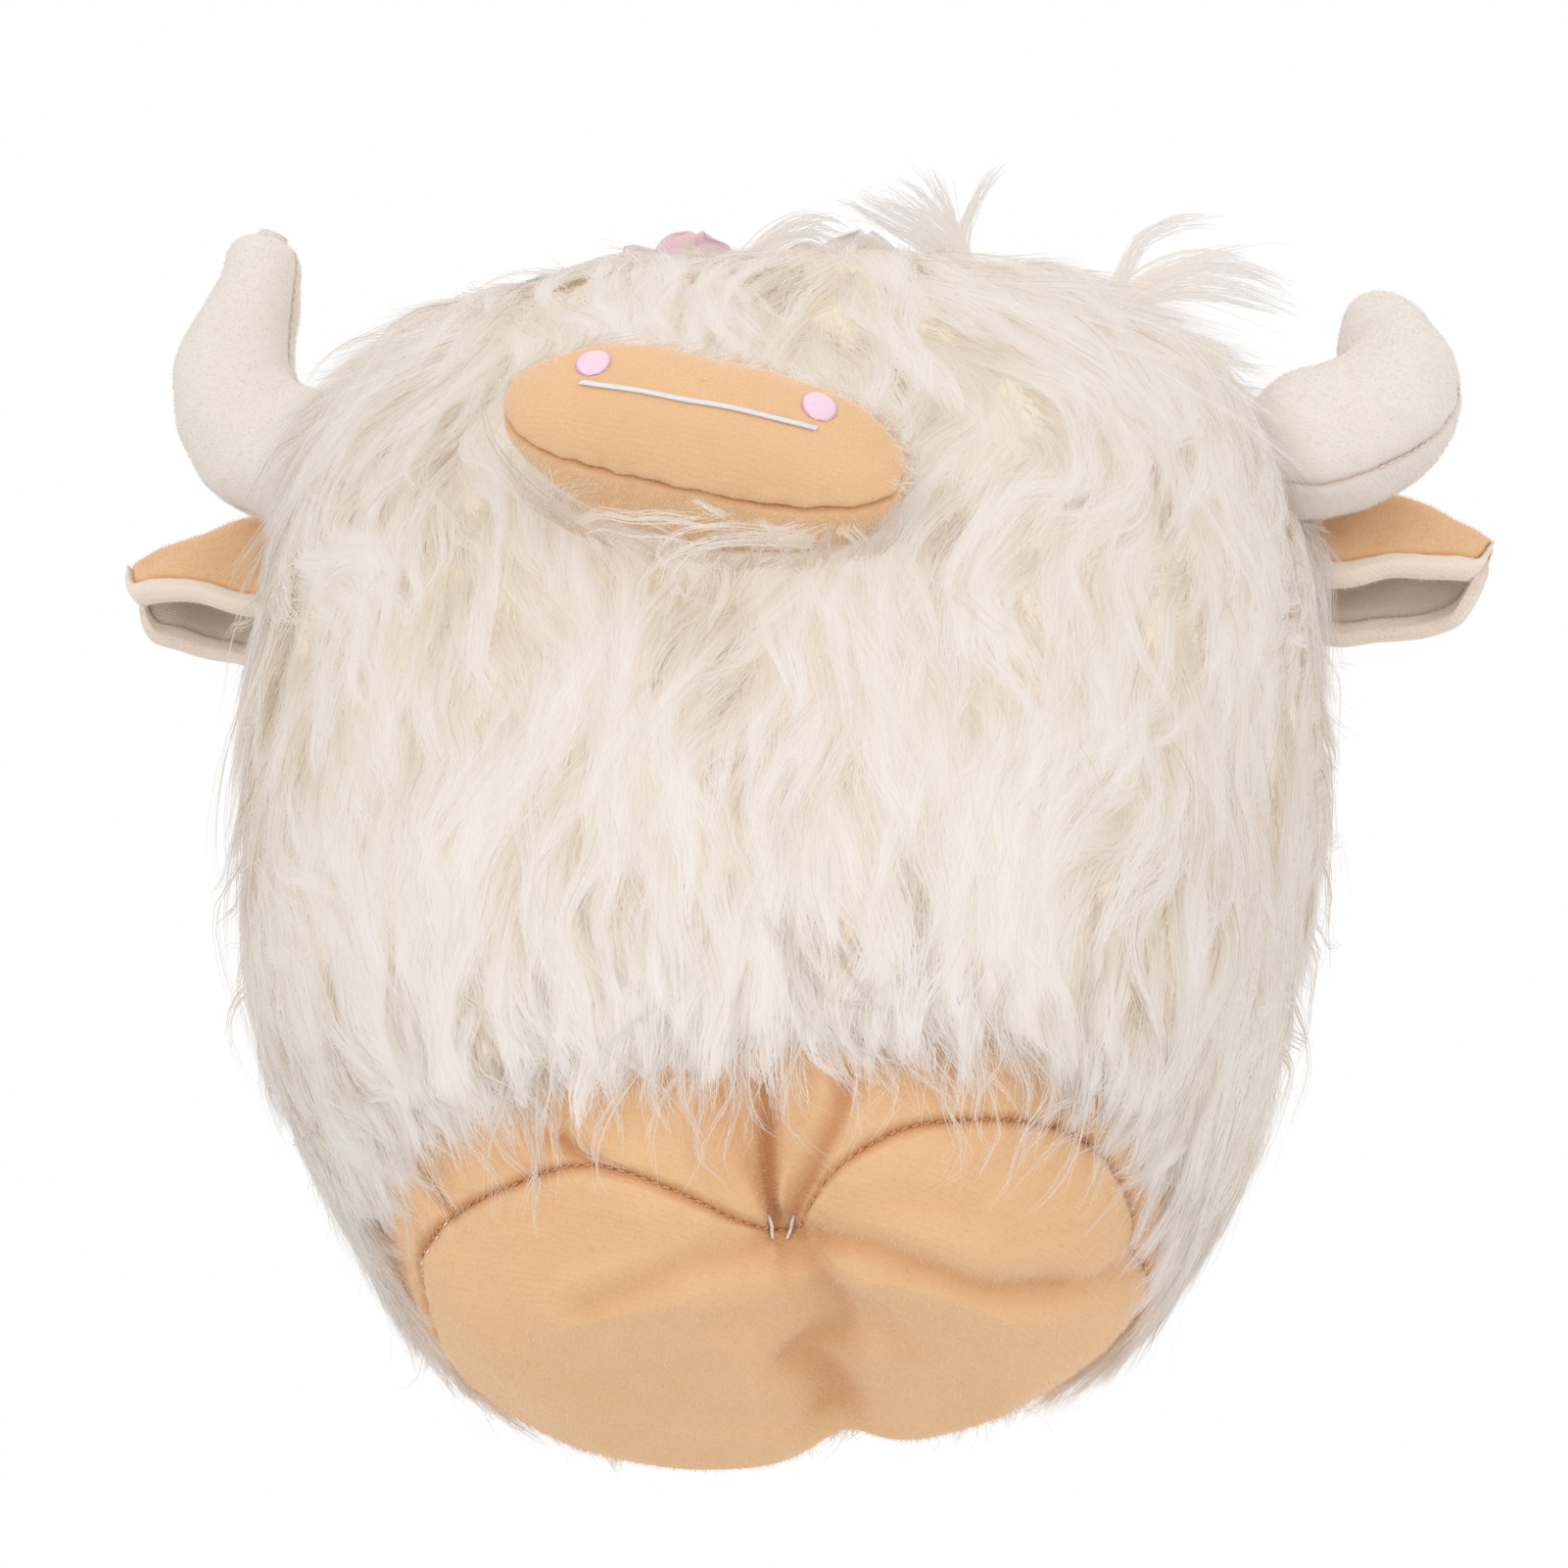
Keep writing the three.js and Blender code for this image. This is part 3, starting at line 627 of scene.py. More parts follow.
@dataclass(frozen=True)
class KnitFinish(Finish):
    """Brushed knit: fine ribs under a nap, with random mottling and painted shade in its creases and seams."""

    name: str
    cloth: Colour
    # The darker colour below serves both for random mottling and for painted shade in creases and seams.
    creased: Colour
    fleck: Colour
    rib_direction: Colour = (0.35, -0.25, 0.9)
    rib_pitch: float = 0.0011
    rib_depth: float = 0.00006
    sheen: float = 0.25

    def build(self, nodes: Nodes) -> bpy.types.Material:
        """Builds the knit's nodes."""
        ribs = nodes.ribs(self.rib_pitch, self.rib_direction, 0.002)
        nap = nodes.noise(0.0006, 3.0)
        drift = nodes.noise(0.022, 2.0)
        base = nodes.blend(nodes.sum("MULTIPLY", ribs, 0.06), self.cloth, self.fleck)
        speck = nodes.ramp(nap, (0.38, (1, 1, 1)), (0.62, (0, 0, 0)))
        flecked = nodes.blend(nodes.sum("MULTIPLY", speck, 0.22), base, self.fleck)
        cloudy = nodes.blend(nodes.sum("MULTIPLY", drift, 0.22), flecked, self.creased)
        # Painted shade: the Shade attribute darkens the cloth in its creases and seams.
        creased = nodes.blend(nodes.attribute("Shade"), cloudy, self.creased)
        relief = nodes.sum("ADD", nodes.sum("MULTIPLY", ribs, 0.5), nodes.sum("MULTIPLY", nap, 1.6))
        nodes.bump(relief, self.rib_depth, 0.8)
        nodes.set(Roughness=0.92, Sheen_Weight=self.sheen, Sheen_Roughness=0.5)
        nodes.set(Sheen_Tint=(1.0, 0.93, 0.84, 1.0), Specular_IOR_Level=0.15)
        return nodes.finish(creased)


@dataclass(frozen=True)
class NapFinish(Finish):
    """Loose fibres that stand on brushed cloth."""

    name: str
    fibre: Colour
    pale: Colour

    def build(self, nodes: Nodes) -> bpy.types.Material:
        """Builds the fibres' nodes."""
        nodes.set(Roughness=0.8, Specular_IOR_Level=0.2)
        return nodes.finish(nodes.blend(nodes.noise(0.0015, 1.0), self.fibre, self.pale))


@dataclass(frozen=True)
class PileFinish(Finish):
    """Long faux-fur strands: darker and warmer at the root and pale at the tip, which is painted shade for the coat's
    depth; each strand's tint differs a little at random.
    """

    name: str
    root: Colour
    middle: Colour
    tip: Colour
    warm: Colour
    clear: float = 0.45

    def build(self, nodes: Nodes) -> bpy.types.Material:
        """Builds the strands' nodes from the strand's own map: how far along, and which tint."""
        split = nodes.add("SeparateXYZ")
        nodes.feed(split.inputs[0], nodes.add("UVMap", uv_map="OFBake").outputs["UV"])
        along, tint = split.outputs["Y"], split.outputs["X"]
        # Painted shade: the colour darkens from tip to root, and the map's along value is lowered where a strand lies
        # deep in the coat.
        body = nodes.ramp(along, (0.0, self.root), (0.42, self.middle), (0.85, self.tip))
        warmth = nodes.ramp(tint, (0.0, (0.75, 0.75, 0.75)), (0.45, (0.1, 0.1, 0.1)), (1.0, (0, 0, 0)))
        nodes.set(Roughness=0.6, Specular_IOR_Level=0.15)
        colour = nodes.blend(warmth, body, self.warm)
        nodes.see_through(colour, self.clear)
        return nodes.finish(colour)


@dataclass(frozen=True)
class UnderfurFinish(Finish):
    """Dense short fur seen between the long strands, streaked down the body."""

    name: str
    pale: Colour
    deep: Colour
    streak: float = 0.0009

    def build(self, nodes: Nodes) -> bpy.types.Material:
        """Builds the underfur's nodes."""
        longer = nodes.add("Mapping")
        nodes.feed(longer.inputs["Vector"], nodes.place())
        longer.inputs["Scale"].default_value = (1.0, 1.0, 0.12)
        streaks = nodes.noise(self.streak, 3.0, longer.outputs[0])
        clouds = nodes.noise(0.012, 2.0)
        nodes.bump(streaks, 0.0006, 0.7)
        nodes.set(Roughness=0.9, Specular_IOR_Level=0.1)
        share = nodes.sum("MULTIPLY", nodes.sum("ADD", streaks, clouds), 0.5)
        return nodes.finish(nodes.ramp(share, (0.32, self.deep), (0.62, self.pale)))


@dataclass(frozen=True)
class ThreadFinish(Finish):
    """Smooth sewing or embroidery thread with fine twisted plies."""

    name: str
    thread: Colour
    hollow: Colour
    ply: float = 0.0005

    def build(self, nodes: Nodes) -> bpy.types.Material:
        """Builds the thread's nodes."""
        plies = nodes.ribs(self.ply, (0.6, 0.5, 0.6), 0.0)
        grain = nodes.noise(0.0012, 2.0)
        nodes.bump(nodes.sum("ADD", plies, grain), 0.00004)
        nodes.set(Roughness=0.42, Sheen_Weight=0.3, Specular_IOR_Level=0.5)
        return nodes.finish(nodes.blend(nodes.sum("MULTIPLY", grain, 0.5), self.thread, self.hollow))


@dataclass(frozen=True)
class SatinFinish(Finish):
    """Satin ribbon: smooth, with a soft sheen and a fine weave."""

    name: str
    face: Colour
    fold: Colour
    clear: float = 0.35

    def build(self, nodes: Nodes) -> bpy.types.Material:
        """Builds the satin's nodes."""
        weave = nodes.ribs(0.0004, (0.7, 0.7, 0.1), 0.0)
        cloud = nodes.noise(0.004, 2.0)
        nodes.bump(nodes.sum("ADD", weave, nodes.sum("MULTIPLY", cloud, 4.0)), 0.00003)
        nodes.set(Roughness=0.38, Sheen_Weight=0.4, Sheen_Roughness=0.3, Specular_IOR_Level=0.5)
        colour = nodes.blend(cloud, self.face, self.fold)
        nodes.see_through(colour, self.clear)
        return nodes.finish(colour)


@dataclass(frozen=True)
class FibreFinish(Finish):
    """Loose polyester filling."""

    name: str
    fibre: Colour

    def build(self, nodes: Nodes) -> bpy.types.Material:
        """Builds the filling's nodes."""
        cloud = nodes.noise(0.006, 4.0)
        nodes.bump(cloud, 0.002)
        nodes.set(Roughness=1.0)
        return nodes.finish(nodes.blend(nodes.sum("MULTIPLY", cloud, 0.3), self.fibre, (0.6, 0.58, 0.55)))


@dataclass(frozen=True)
class FloorFinish(Finish):
    """A pale floor that is seen from above only and fades out round the toy."""

    name: str
    tone: Colour
    near: float = 0.45
    far: float = 0.95

    def build(self, nodes: Nodes) -> bpy.types.Material:
        """Builds the floor's nodes: plain above, clear from below."""
        clear = nodes.add("BsdfTransparent")
        choice = nodes.add("MixShader")
        away = nodes.add("VectorMath", operation="LENGTH")
        nodes.feed(away.inputs[0], nodes.place())
        faded = nodes.sum("SUBTRACT", away.outputs["Value"], self.near)
        faded = nodes.sum("MULTIPLY", faded, 1 / (self.far - self.near))
        faded = nodes.sum("MINIMUM", nodes.sum("MAXIMUM", faded, 0.0), 1.0)
        geometry = nodes.add("NewGeometry")
        nodes.feed(choice.inputs[0], nodes.sum("MAXIMUM", faded, geometry.outputs["Backfacing"]))
        nodes.feed(choice.inputs[1], nodes.shader.outputs[0])
        nodes.feed(choice.inputs[2], clear.outputs[0])
        nodes.feed(nodes.tree.nodes["Material Output"].inputs["Surface"], choice.outputs[0])
        nodes.set(Roughness=1.0, Specular_IOR_Level=0.0)
        return nodes.finish(self.tone)


# Each knit's second colour serves both for random mottling and for painted shade in creases and seams.
TAN = linear(229, 190, 148)
TAN_MOTTLE_AND_SHADE = linear(196, 136, 84)
TAN_FLECK = linear(214, 166, 118)
CREAM = linear(236, 222, 208)
CREAM_MOTTLE_AND_SHADE = linear(186, 158, 138)
CREAM_FLECK = linear(212, 192, 176)
HORN = linear(229, 222, 215)
HORN_MOTTLE_AND_SHADE = linear(206, 186, 168)
HORN_FLECK = linear(221, 210, 201)

tan_knit = KnitFinish("tan_knit", TAN, TAN_MOTTLE_AND_SHADE, TAN_FLECK)
horn_plush = KnitFinish("horn_plush", HORN, HORN_MOTTLE_AND_SHADE, HORN_FLECK, rib_pitch=0.0009, rib_depth=0.00004)
ear_lining = KnitFinish("ear_lining", CREAM, CREAM_MOTTLE_AND_SHADE, CREAM_FLECK, rib_pitch=0.0009, rib_depth=0.00006)
coat_underfur = UnderfurFinish("coat_underfur", linear(235, 224, 208), linear(224, 208, 184))
tan_nap = NapFinish("tan_nap", linear(232, 196, 154), linear(244, 220, 190))
muzzle_nap = NapFinish("muzzle_nap", linear(242, 220, 192), linear(251, 239, 224))
horn_nap = NapFinish("horn_nap", linear(218, 208, 198), linear(230, 224, 216))
lining_nap = NapFinish("lining_nap", linear(216, 202, 190), linear(236, 227, 219))
# The root colour is darker and warmer than the tip: painted shade for the coat's depth.
long_pile = PileFinish(
    "long_pile", linear(229, 217, 199), linear(239, 233, 227), linear(244, 241, 240), linear(237, 227, 213)
)
# A greyer, darker pile for the tufts off the crown: painted shade, as they stand in shadow.
shaded_pile = PileFinish(
    "shaded_pile", linear(234, 226, 217), linear(229, 223, 218), linear(222, 219, 218), linear(230, 224, 217)
)
filling_fibre = FibreFinish("fibre_filling", linear(246, 245, 242))
white_thread = ThreadFinish("white_thread", linear(244, 243, 246), linear(205, 200, 200))
tan_thread = ThreadFinish("tan_thread", linear(222, 165, 105), linear(180, 120, 66))
pink_thread = ThreadFinish("pink_thread", linear(251, 219, 234), linear(239, 195, 216))
pink_satin = SatinFinish("pink_satin", linear(251, 230, 238), linear(246, 215, 227))
white_satin = SatinFinish("white_satin", linear(250, 245, 243), linear(236, 227, 223))
pale_satin = SatinFinish("pale_satin", linear(247, 230, 234), linear(236, 212, 219))
leaf_satin = SatinFinish("leaf_satin", linear(222, 238, 206), linear(202, 222, 184))
floor_finish = FloorFinish("floor", (0.9, 0.9, 0.9))


def settle(piece: bpy.types.Object, body: str, slot: str, *nodes: str) -> bpy.types.Object:
    """Hands a finished piece to its body.

    Args:
        piece: The piece, in place.
        body: The body that it moves with.
        slot: The material slot that the piece's finish belongs to; not used.
        *nodes: The nodes that it stands for.

    Returns:
        The same piece.
    """
    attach(piece, body)
    if nodes:
        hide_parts(*nodes)
    log.info("%s: %d faces, rides on %s", piece.name, len(piece.data.polygons), body)
    return piece


@dataclass(frozen=True)
class PhotoCamera:
    """The photograph's viewpoint, below and in front of the toy and a little to its right."""

    aim: Array
    azimuth: float = math.radians(12.0)
    elevation: float = math.radians(-40.0)
    distance: float = 0.95
    frame_pixels: float = 1601.0
    focal_pixels: float = 4180.0
    sensor_width: float = 36.0

    def axes(self) -> tuple[Array, Array, Array]:
        """The view's right, up and backward directions."""
        turn, rise = self.azimuth, self.elevation
        right = np.array([math.cos(turn), math.sin(turn), 0.0])
        back = np.array([
            math.sin(turn) * math.cos(rise),
            -math.cos(turn) * math.cos(rise),
            math.sin(rise),
        ])
        return right, np.cross(back, right), back

    def ray(self, pixel: tuple[float, float]) -> tuple[Vector, Vector]:
        """The line of sight through a pixel of the photograph.

        Args:
            pixel: Across and down from the frame's upper left corner.

        Returns:
            Its start and its direction.
        """
        right, up, back = self.axes()
        middle = self.frame_pixels / 2
        way = right * (pixel[0] - middle) + up * (middle - pixel[1]) - back * self.focal_pixels
        return Vector(self.aim + back * self.distance), Vector(unit(way))

    def on_plane(self, pixels: Pixels, point: Array) -> Array:
        """Where sight lines cross the plane through a point, square to the view.

        Args:
            pixels: Pixels of the photograph.
            point: The point that the plane passes through.

        Returns:
            One place for each pixel.
        """
        back = self.axes()[2]
        start = self.aim + back * self.distance
        ways = np.array([self.ray(pixel)[1] for pixel in pixels])
        return start + ways * (((point - start) @ back) / (ways @ back))[:, None]

    def create(self) -> None:
        """Makes the camera and gives it to the scene."""
        right, up, back = self.axes()
        lens = bpy.data.cameras.new("camera")
        lens.sensor_width = self.sensor_width
        lens.lens = self.sensor_width * self.focal_pixels / self.frame_pixels
        camera = bpy.data.objects.new("camera", lens)
        turn = Matrix((right, up, back)).transposed().to_4x4()
        camera.matrix_world = Matrix.Translation(Vector(self.aim + back * self.distance)) @ turn
        bpy.context.scene.collection.objects.link(camera)
        bpy.context.scene.camera = camera


@dataclass
class BodyForm:
    """The stuffed body under its cloth: a squared loaf that leans, with two feet drawn in at the front."""

    height: float = 0.286
    half_width: float = 0.113
    half_depth: float = 0.092
    squareness: float = 2.6
    lean: float = math.radians(9.0)
    lean_step_share: float = 0.2
    base_forward: float = 0.005
    base_forward_height: float = 0.060
    slack_depth: float = 0.009
    slack_height: float = 0.105
    slack_half_height: float = 0.048
    sole_seam_share: float = 0.212
    hem_share: float = 0.252
    pinch_dip_share: float = 0.03
    pinch_turn_share: float = 0.035
    pinch_place_share: float = 0.771
    foot_height: float = 0.026
    crease_depth: float = 0.007
    crease_half_width: float = 0.013
    crease_sidestep: float = 0.008
    foot_bulge: float = 0.007
    foot_spread: float = 0.044
    foot_half_width: float = 0.026
    pinch_depth: float = 0.030
    pinch_half_width: float = 0.012
    pinch_height: float = 0.009
    pinch_reach: float = 0.015
    cloth: float = 0.0019
    profile_shares: tuple[Colour, ...] = (
        (0, 0, 0), (0.24, 0.22, 0), (0.43, 0.37, 0.002), (0.57, 0.49, 0.035), (0.71, 0.69, 0.105),
        (0.84, 0.86, 0.21), (0.94, 0.96, 0.35), (1, 1, 0.525), (1.01, 0.97, 0.7), (0.99, 0.87, 0.84),
        (0.89, 0.69, 0.93), (0.6, 0.4, 0.985), (0, 0, 1),
    )
    net_columns: int = 48
    net_rows: tuple[int, int, int] = (5, 3, 11)
    steps_per_span: int = 120
    offset: Array = field(init=False)
    meridian: Array = field(init=False)
    reach: Array = field(init=False)

    def __post_init__(self) -> None:
        """Traces the side profile, and finds where the form stands in the toy's own frame."""
        sizes = np.array([self.half_width, self.half_depth, self.height])
        knots = np.array(self.profile_shares) * sizes
        self.meridian = self.trace(knots)
        steps = np.linalg.norm(np.diff(self.meridian, axis=0), axis=1)
        self.reach = np.concatenate([[0], np.cumsum(steps)])
        self.reach /= self.reach[-1]
        self.offset = np.zeros(3)
        turns = np.arange(self.net_columns) / self.net_columns
        dip = self.pinch_dip_share * bell(turns - self.pinch_place_share, self.pinch_turn_share)
        marks = [np.zeros_like(dip), self.sole_seam_share - dip, self.hem_share + 0 * dip, 1 + 0 * dip]
        net = [
            self.points(turns, mix(low, high, step / rows))
            for rows, low, high in zip(self.net_rows, marks, marks[1:])
            for step in range(rows + 1)
        ]
        self.offset = np.array(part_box("body_filling")[0]) - np.concatenate(net).min(0)

    def trace(self, knots: Array) -> Array:
        """A centripetal curve through the profile's knots.

        Args:
            knots: Width, depth and height at each knot.

        Returns:
            Close-set points along the curve.
        """
        ends = np.concatenate([[2 * knots[0] - knots[1]], knots, [2 * knots[-1] - knots[-2]]])
        share = np.linspace(0, 1, self.steps_per_span, endpoint=False)[:, None]
        parts = []
        for before, start, end, after in zip(ends, ends[1:], ends[2:], ends[3:]):
            gaps = [np.linalg.norm(b - a) ** 0.5 for a, b in ((before, start), (start, end), (end, after))]
            leave = (start - before) / gaps[0] - (end - before) / (gaps[0] + gaps[1]) + (end - start) / gaps[1]
            arrive = (end - start) / gaps[1] - (after - start) / (gaps[1] + gaps[2]) + (after - end) / gaps[2]
            leave, arrive = leave * gaps[1], arrive * gaps[1]
            parts.append(
                start + leave * share
                + (3 * (end - start) - 2 * leave - arrive) * share**2
                + (2 * (start - end) + leave + arrive) * share**3
            )
        return np.concatenate([*parts, knots[-1:]])

    def tilt_at(self, height: Array) -> Array:
        """How far the form leans over at a height above the floor."""
        share = (height - self.foot_height) / (self.height - self.foot_height)
        return self.lean * np.maximum(0, share)

    def points(self, turn: Array, share: Array, grow: Array | float = 0.0) -> Array:
        """Places on the form.

        Args:
            turn: Share of a turn from +X by way of the back.
            share: Share of the way from the sole's middle to the crown.
            grow: How far outside the filling the places lie.

        Returns:
            The places, along a last axis.
        """
        turn, share = np.broadcast_arrays(np.asarray(turn, float), np.asarray(share, float))
        bare = self.bare_points(turn, share)
        if np.ndim(grow) == 0 and grow == 0:
            return bare
        return bare + self.normals(turn, share) * np.asarray(grow)[..., None]

    def bare_points(self, turn: Array, share: Array) -> Array:
        """Places on the filling itself, at shares of a turn and of the profile."""
        angle = turn * FULL_TURN
        width, depth, height = (np.interp(share, self.reach, self.meridian[:, axis]) for axis in range(3))
        cosine, sine = np.cos(angle), np.sin(angle)
        power = self.squareness
        square = (np.abs(cosine) ** power + np.abs(sine) ** power) ** (-1 / power)
        slack = self.slack_depth * np.maximum(0, cosine)
        across = width * cosine * square - slack * bell(height - self.slack_height, self.slack_half_height)
        along = depth * sine * square
        front = np.maximum(0, -sine) * depth / self.half_depth
        low = bell(height, self.foot_height)
        step = across - self.crease_sidestep
        crease = self.crease_depth * bell(step, self.crease_half_width) * low
        pinch = self.pinch_depth * bell(step, self.pinch_half_width)
        pinch = pinch * bell(height - self.pinch_height, self.pinch_reach)
        bulge = self.foot_bulge * bell(np.abs(step) - self.foot_spread, self.foot_half_width) * low
        height = height + crease
        forward = self.base_forward * bell(height, self.base_forward_height)
        along = along + (pinch - bulge) * front - forward
        tilt = self.tilt_at(height)
        return np.stack([
            across * np.cos(tilt) + self.lean_step_share * tilt * height / 2,
            along,
            height - across * np.sin(tilt),
        ], -1) + self.offset

    def normals(self, turn: Array, share: Array, step: float = 0.004) -> Array:
        """Outward directions at shares of a turn and of the profile.

        Args:
            turn: Share of a turn.
            share: Share of the profile.
            step: How far apart the places lie that the direction is taken from.

        Returns:
            Directions of length one.
        """
        safe = np.clip(share, 0.012, 0.988)
        around = self.bare_points(turn + step, safe) - self.bare_points(turn - step, safe)
        upward = self.bare_points(turn, safe + step) - self.bare_points(turn, safe - step)
        return unit(np.cross(around, upward))


@dataclass
class BodyMap:
    """A fine net over the body, to find places on it from pixels and from loose points."""

    form: BodyForm
    columns: int = 360
    rows: int = 360
    points: Array = field(init=False)
    normals: Array = field(init=False)
    tree: BVHTree = field(init=False)

    def __post_init__(self) -> None:
        """Lays the net once."""
        turn, share = np.meshgrid(
            np.arange(self.columns) / self.columns,
            np.linspace(0, 1, self.rows + 1),
        )
        self.points = self.form.points(turn, share).reshape(-1, 3)
        self.normals = self.form.normals(turn, share).reshape(-1, 3)
        faces = grid_faces(self.columns, self.rows, True)
        self.tree = BVHTree.FromPolygons(self.points.tolist(), faces.tolist())

    def place_of(self, point: Array) -> tuple[float, float]:
        """The turn and profile shares of the net's point that lies nearest to a place."""
        index = self.tree.find_nearest(Vector(point))[2]
        row, column = divmod(index, self.columns)
        corners = [(row, column), (row, column + 1), (row + 1, column), (row + 1, column + 1)]
        near = [self.points[r * self.columns + c % self.columns] for r, c in corners]
        weight = 1 / (np.linalg.norm(np.array(near) - point, axis=1) + TINY) ** 2
        r, c = (np.array(corners) * weight[:, None]).sum(0) / weight.sum()
        return c / self.columns, r / self.rows

    def seen_at(self, camera: PhotoCamera, pixels: Pixels) -> Array:
        """The places on the body that pixels of the photograph show.

        Args:
            camera: The photograph's viewpoint.
            pixels: The pixels.

        Returns:
            For each, its turn share and its profile share.
        """
        found = []
        for pixel in pixels:
            start, way = camera.ray(pixel)
            hit = self.tree.ray_cast(start, way)[0]
            if hit is not None:
                found.append(self.place_of(np.array(hit)))
        return np.array(found)

    def snap(self, points: Array) -> tuple[Array, Array, Array]:
        """The nearest places on the body.

        Args:
            points: Loose points.

        Returns:
            The places, the outward directions there and their shares of the profile.
        """
        places = np.empty_like(points)
        faces = np.empty(len(points), int)
        for number, point in enumerate(points):
            place, _, face, _ = self.tree.find_nearest(Vector(point))
            places[number] = place
            faces[number] = face
        return places, self.normals[faces], faces // self.columns / self.rows


def densify(places: Array, steps: int) -> Array:
    """Adds places between the given ones, on a smooth curve through them.

    Args:
        places: The given places.
        steps: How many places the curve has.

    Returns:
        The curve's places.
    """
    jumps = np.linalg.norm(np.diff(places, axis=0), axis=1)
    reach = np.concatenate([[0], np.cumsum(np.maximum(jumps, TINY))])
    table = np.column_stack([reach / reach[-1], places])
    return through(table, np.linspace(0, 1, steps))


def nearest_on(path: Array, points: Array) -> Array:
    """How far each point is from the nearest of a path's points.

    Args:
        path: The path's close-set points.
        points: The points.

    Returns:
        One distance for each point.
    """
    tree = KDTree(len(path))
    for number, place in enumerate(path):
        tree.insert(place, number)
    tree.balance()
    return np.array([tree.find(point)[2] for point in points.reshape(-1, 3)]).reshape(points.shape[:-1])


def smoothed(rows: Array) -> Array:
    """Evens out values along their second axis."""
    padded = np.concatenate([rows[:, :1], rows, rows[:, -1:]], 1)
    return (padded[:, :-2] + 2 * padded[:, 1:-1] + padded[:, 2:]) / 4


def offset_grid(grid: Array, amount: Array | float, outward: Array) -> Array:
    """Moves a grid of points square to its own surface.

    Args:
        grid: Points, rows by columns.
        amount: How far each point moves.
        outward: A rough outward direction for each point.

    Returns:
        The moved points.
    """
    along = np.gradient(grid, axis=1)
    down = np.gradient(grid, axis=0)
    normal = unit(np.cross(along, down))
    facing = np.sign((normal * outward).sum(-1, keepdims=True))
    facing[facing == 0] = 1
    return grid + normal * facing * np.asarray(amount)[..., None]


def tube(path: Array, radius: float, sides: int = 6) -> Skin:
    """A thread laid along a short path.

    Args:
        path: The path's points.
        radius: The thread's radius.
        sides: How many sides it has.

    Returns:
        The thread, closed at both ends.
    """
    along = unit(np.gradient(path, axis=0))
    side = unit(np.cross(along, np.array([0.3, 1.0, 0.2])))
    up = np.cross(side, along)
    reach = np.linspace(-1, 1, len(path))[:, None, None]
    swell = radius * np.sqrt(np.maximum(0.03, 1 - np.abs(reach) ** 8))
    angle = (np.arange(sides) * FULL_TURN / sides)[None, :, None]
    rings = path[:, None] + swell * (side[:, None] * np.cos(angle) + up[:, None] * np.sin(angle))
    last = (len(path) - 1) * sides
    caps = [[0, 3, 2, 1], [0, 5, 4, 3], [last, last + 1, last + 2, last + 3], [last, last + 3, last + 4, last + 5]]
    return Skin(rings.reshape(-1, 3), np.concatenate([grid_faces(sides, len(path) - 1, True), caps]))


def filling_piece(name: str, grid: Array, wrap: bool, body: str) -> bpy.types.Object:
    """The loose fibre inside a stuffed form, as one lumpy body.

    Args:
        name: The node that it stands for.
        grid: The form's points, pole to pole, drawn in from the cloth.
        wrap: Whether the columns close on themselves.
        body: The body that it moves with.

    Returns:
        The finished piece.
    """
    lumps = Ripple(71, 0.03).at(grid) * 0.0006
    middle = grid.reshape(-1, 3).mean(0)
    grid = grid - unit(grid - middle) * (0.0006 + np.abs(lumps))[..., None]
    columns = grid.shape[1] if wrap else grid.shape[1] - 1
    skin = Skin(grid.reshape(-1, 3), grid_faces(columns, grid.shape[0] - 1, wrap))
    return settle(skin.piece(name + "_fibre", filling_fibre), body, "fibre_filling", name)


@dataclass(frozen=True)
class Crease:
    """A fold or pucker that the photograph shows on the base, given where its pixels are, and how much painted shade
    darkens it.
    """

    pixels: Pixels
    depth: float
    half_width: float
    shade: float = 0.6


@dataclass(frozen=True)
class Wisp:
    """A tuft or a curl that the photograph shows, given where its pixels are."""

    pixels: Pixels
    locks: int
    spread: float


CROWN_WISPS = (
    Wisp(((985, 275), (950, 248), (912, 224), (868, 204)), 9, 0.0022),
    Wisp(((990, 270), (960, 238), (930, 212), (900, 194)), 7, 0.0018),
    Wisp(((985, 270), (975, 228), (962, 196), (945, 166)), 3, 0.0006),
    Wisp(((985, 270), (988, 232), (1002, 198), (1021, 168)), 3, 0.0005),
    Wisp(((1128, 312), (1150, 275), (1164, 246), (1195, 229), (1243, 223)), 4, 0.0007),
    Wisp(((1140, 306), (1195, 276), (1235, 260), (1276, 251)), 3, 0.0008),
    Wisp(((1140, 306), (1176, 284), (1235, 272), (1285, 281), (1312, 294)), 6, 0.0014),
    Wisp(((1150, 318), (1205, 296), (1262, 300), (1330, 322)), 8, 0.0024),
    Wisp(((760, 268), (795, 240), (832, 229), (862, 243)), 8, 0.0018),
    Wisp(((690, 268), (640, 262), (600, 270), (560, 290)), 4, 0.0014),
)
MUZZLE_WISPS = (
    Wisp(((861, 544), (864, 523), (847, 525), (816, 537), (792, 542), (774, 540), (769, 530), (777, 522)), 3, 0.0004),
    Wisp(((800, 545), (780, 535), (774, 502), (769, 471)), 2, 0.0003),
    Wisp(((738, 526), (722, 518), (705, 509)), 2, 0.0004),
    Wisp(((597, 540), (611, 533), (642, 539), (670, 537), (712, 542), (743, 533)), 3, 0.0009),
    Wisp(((830, 548), (778, 544), (726, 546), (684, 558), (660, 582), (677, 603), (712, 608)), 4, 0.0011),
    Wisp(((878, 552), (866, 530), (862, 512), (870, 500)), 2, 0.0006),
)
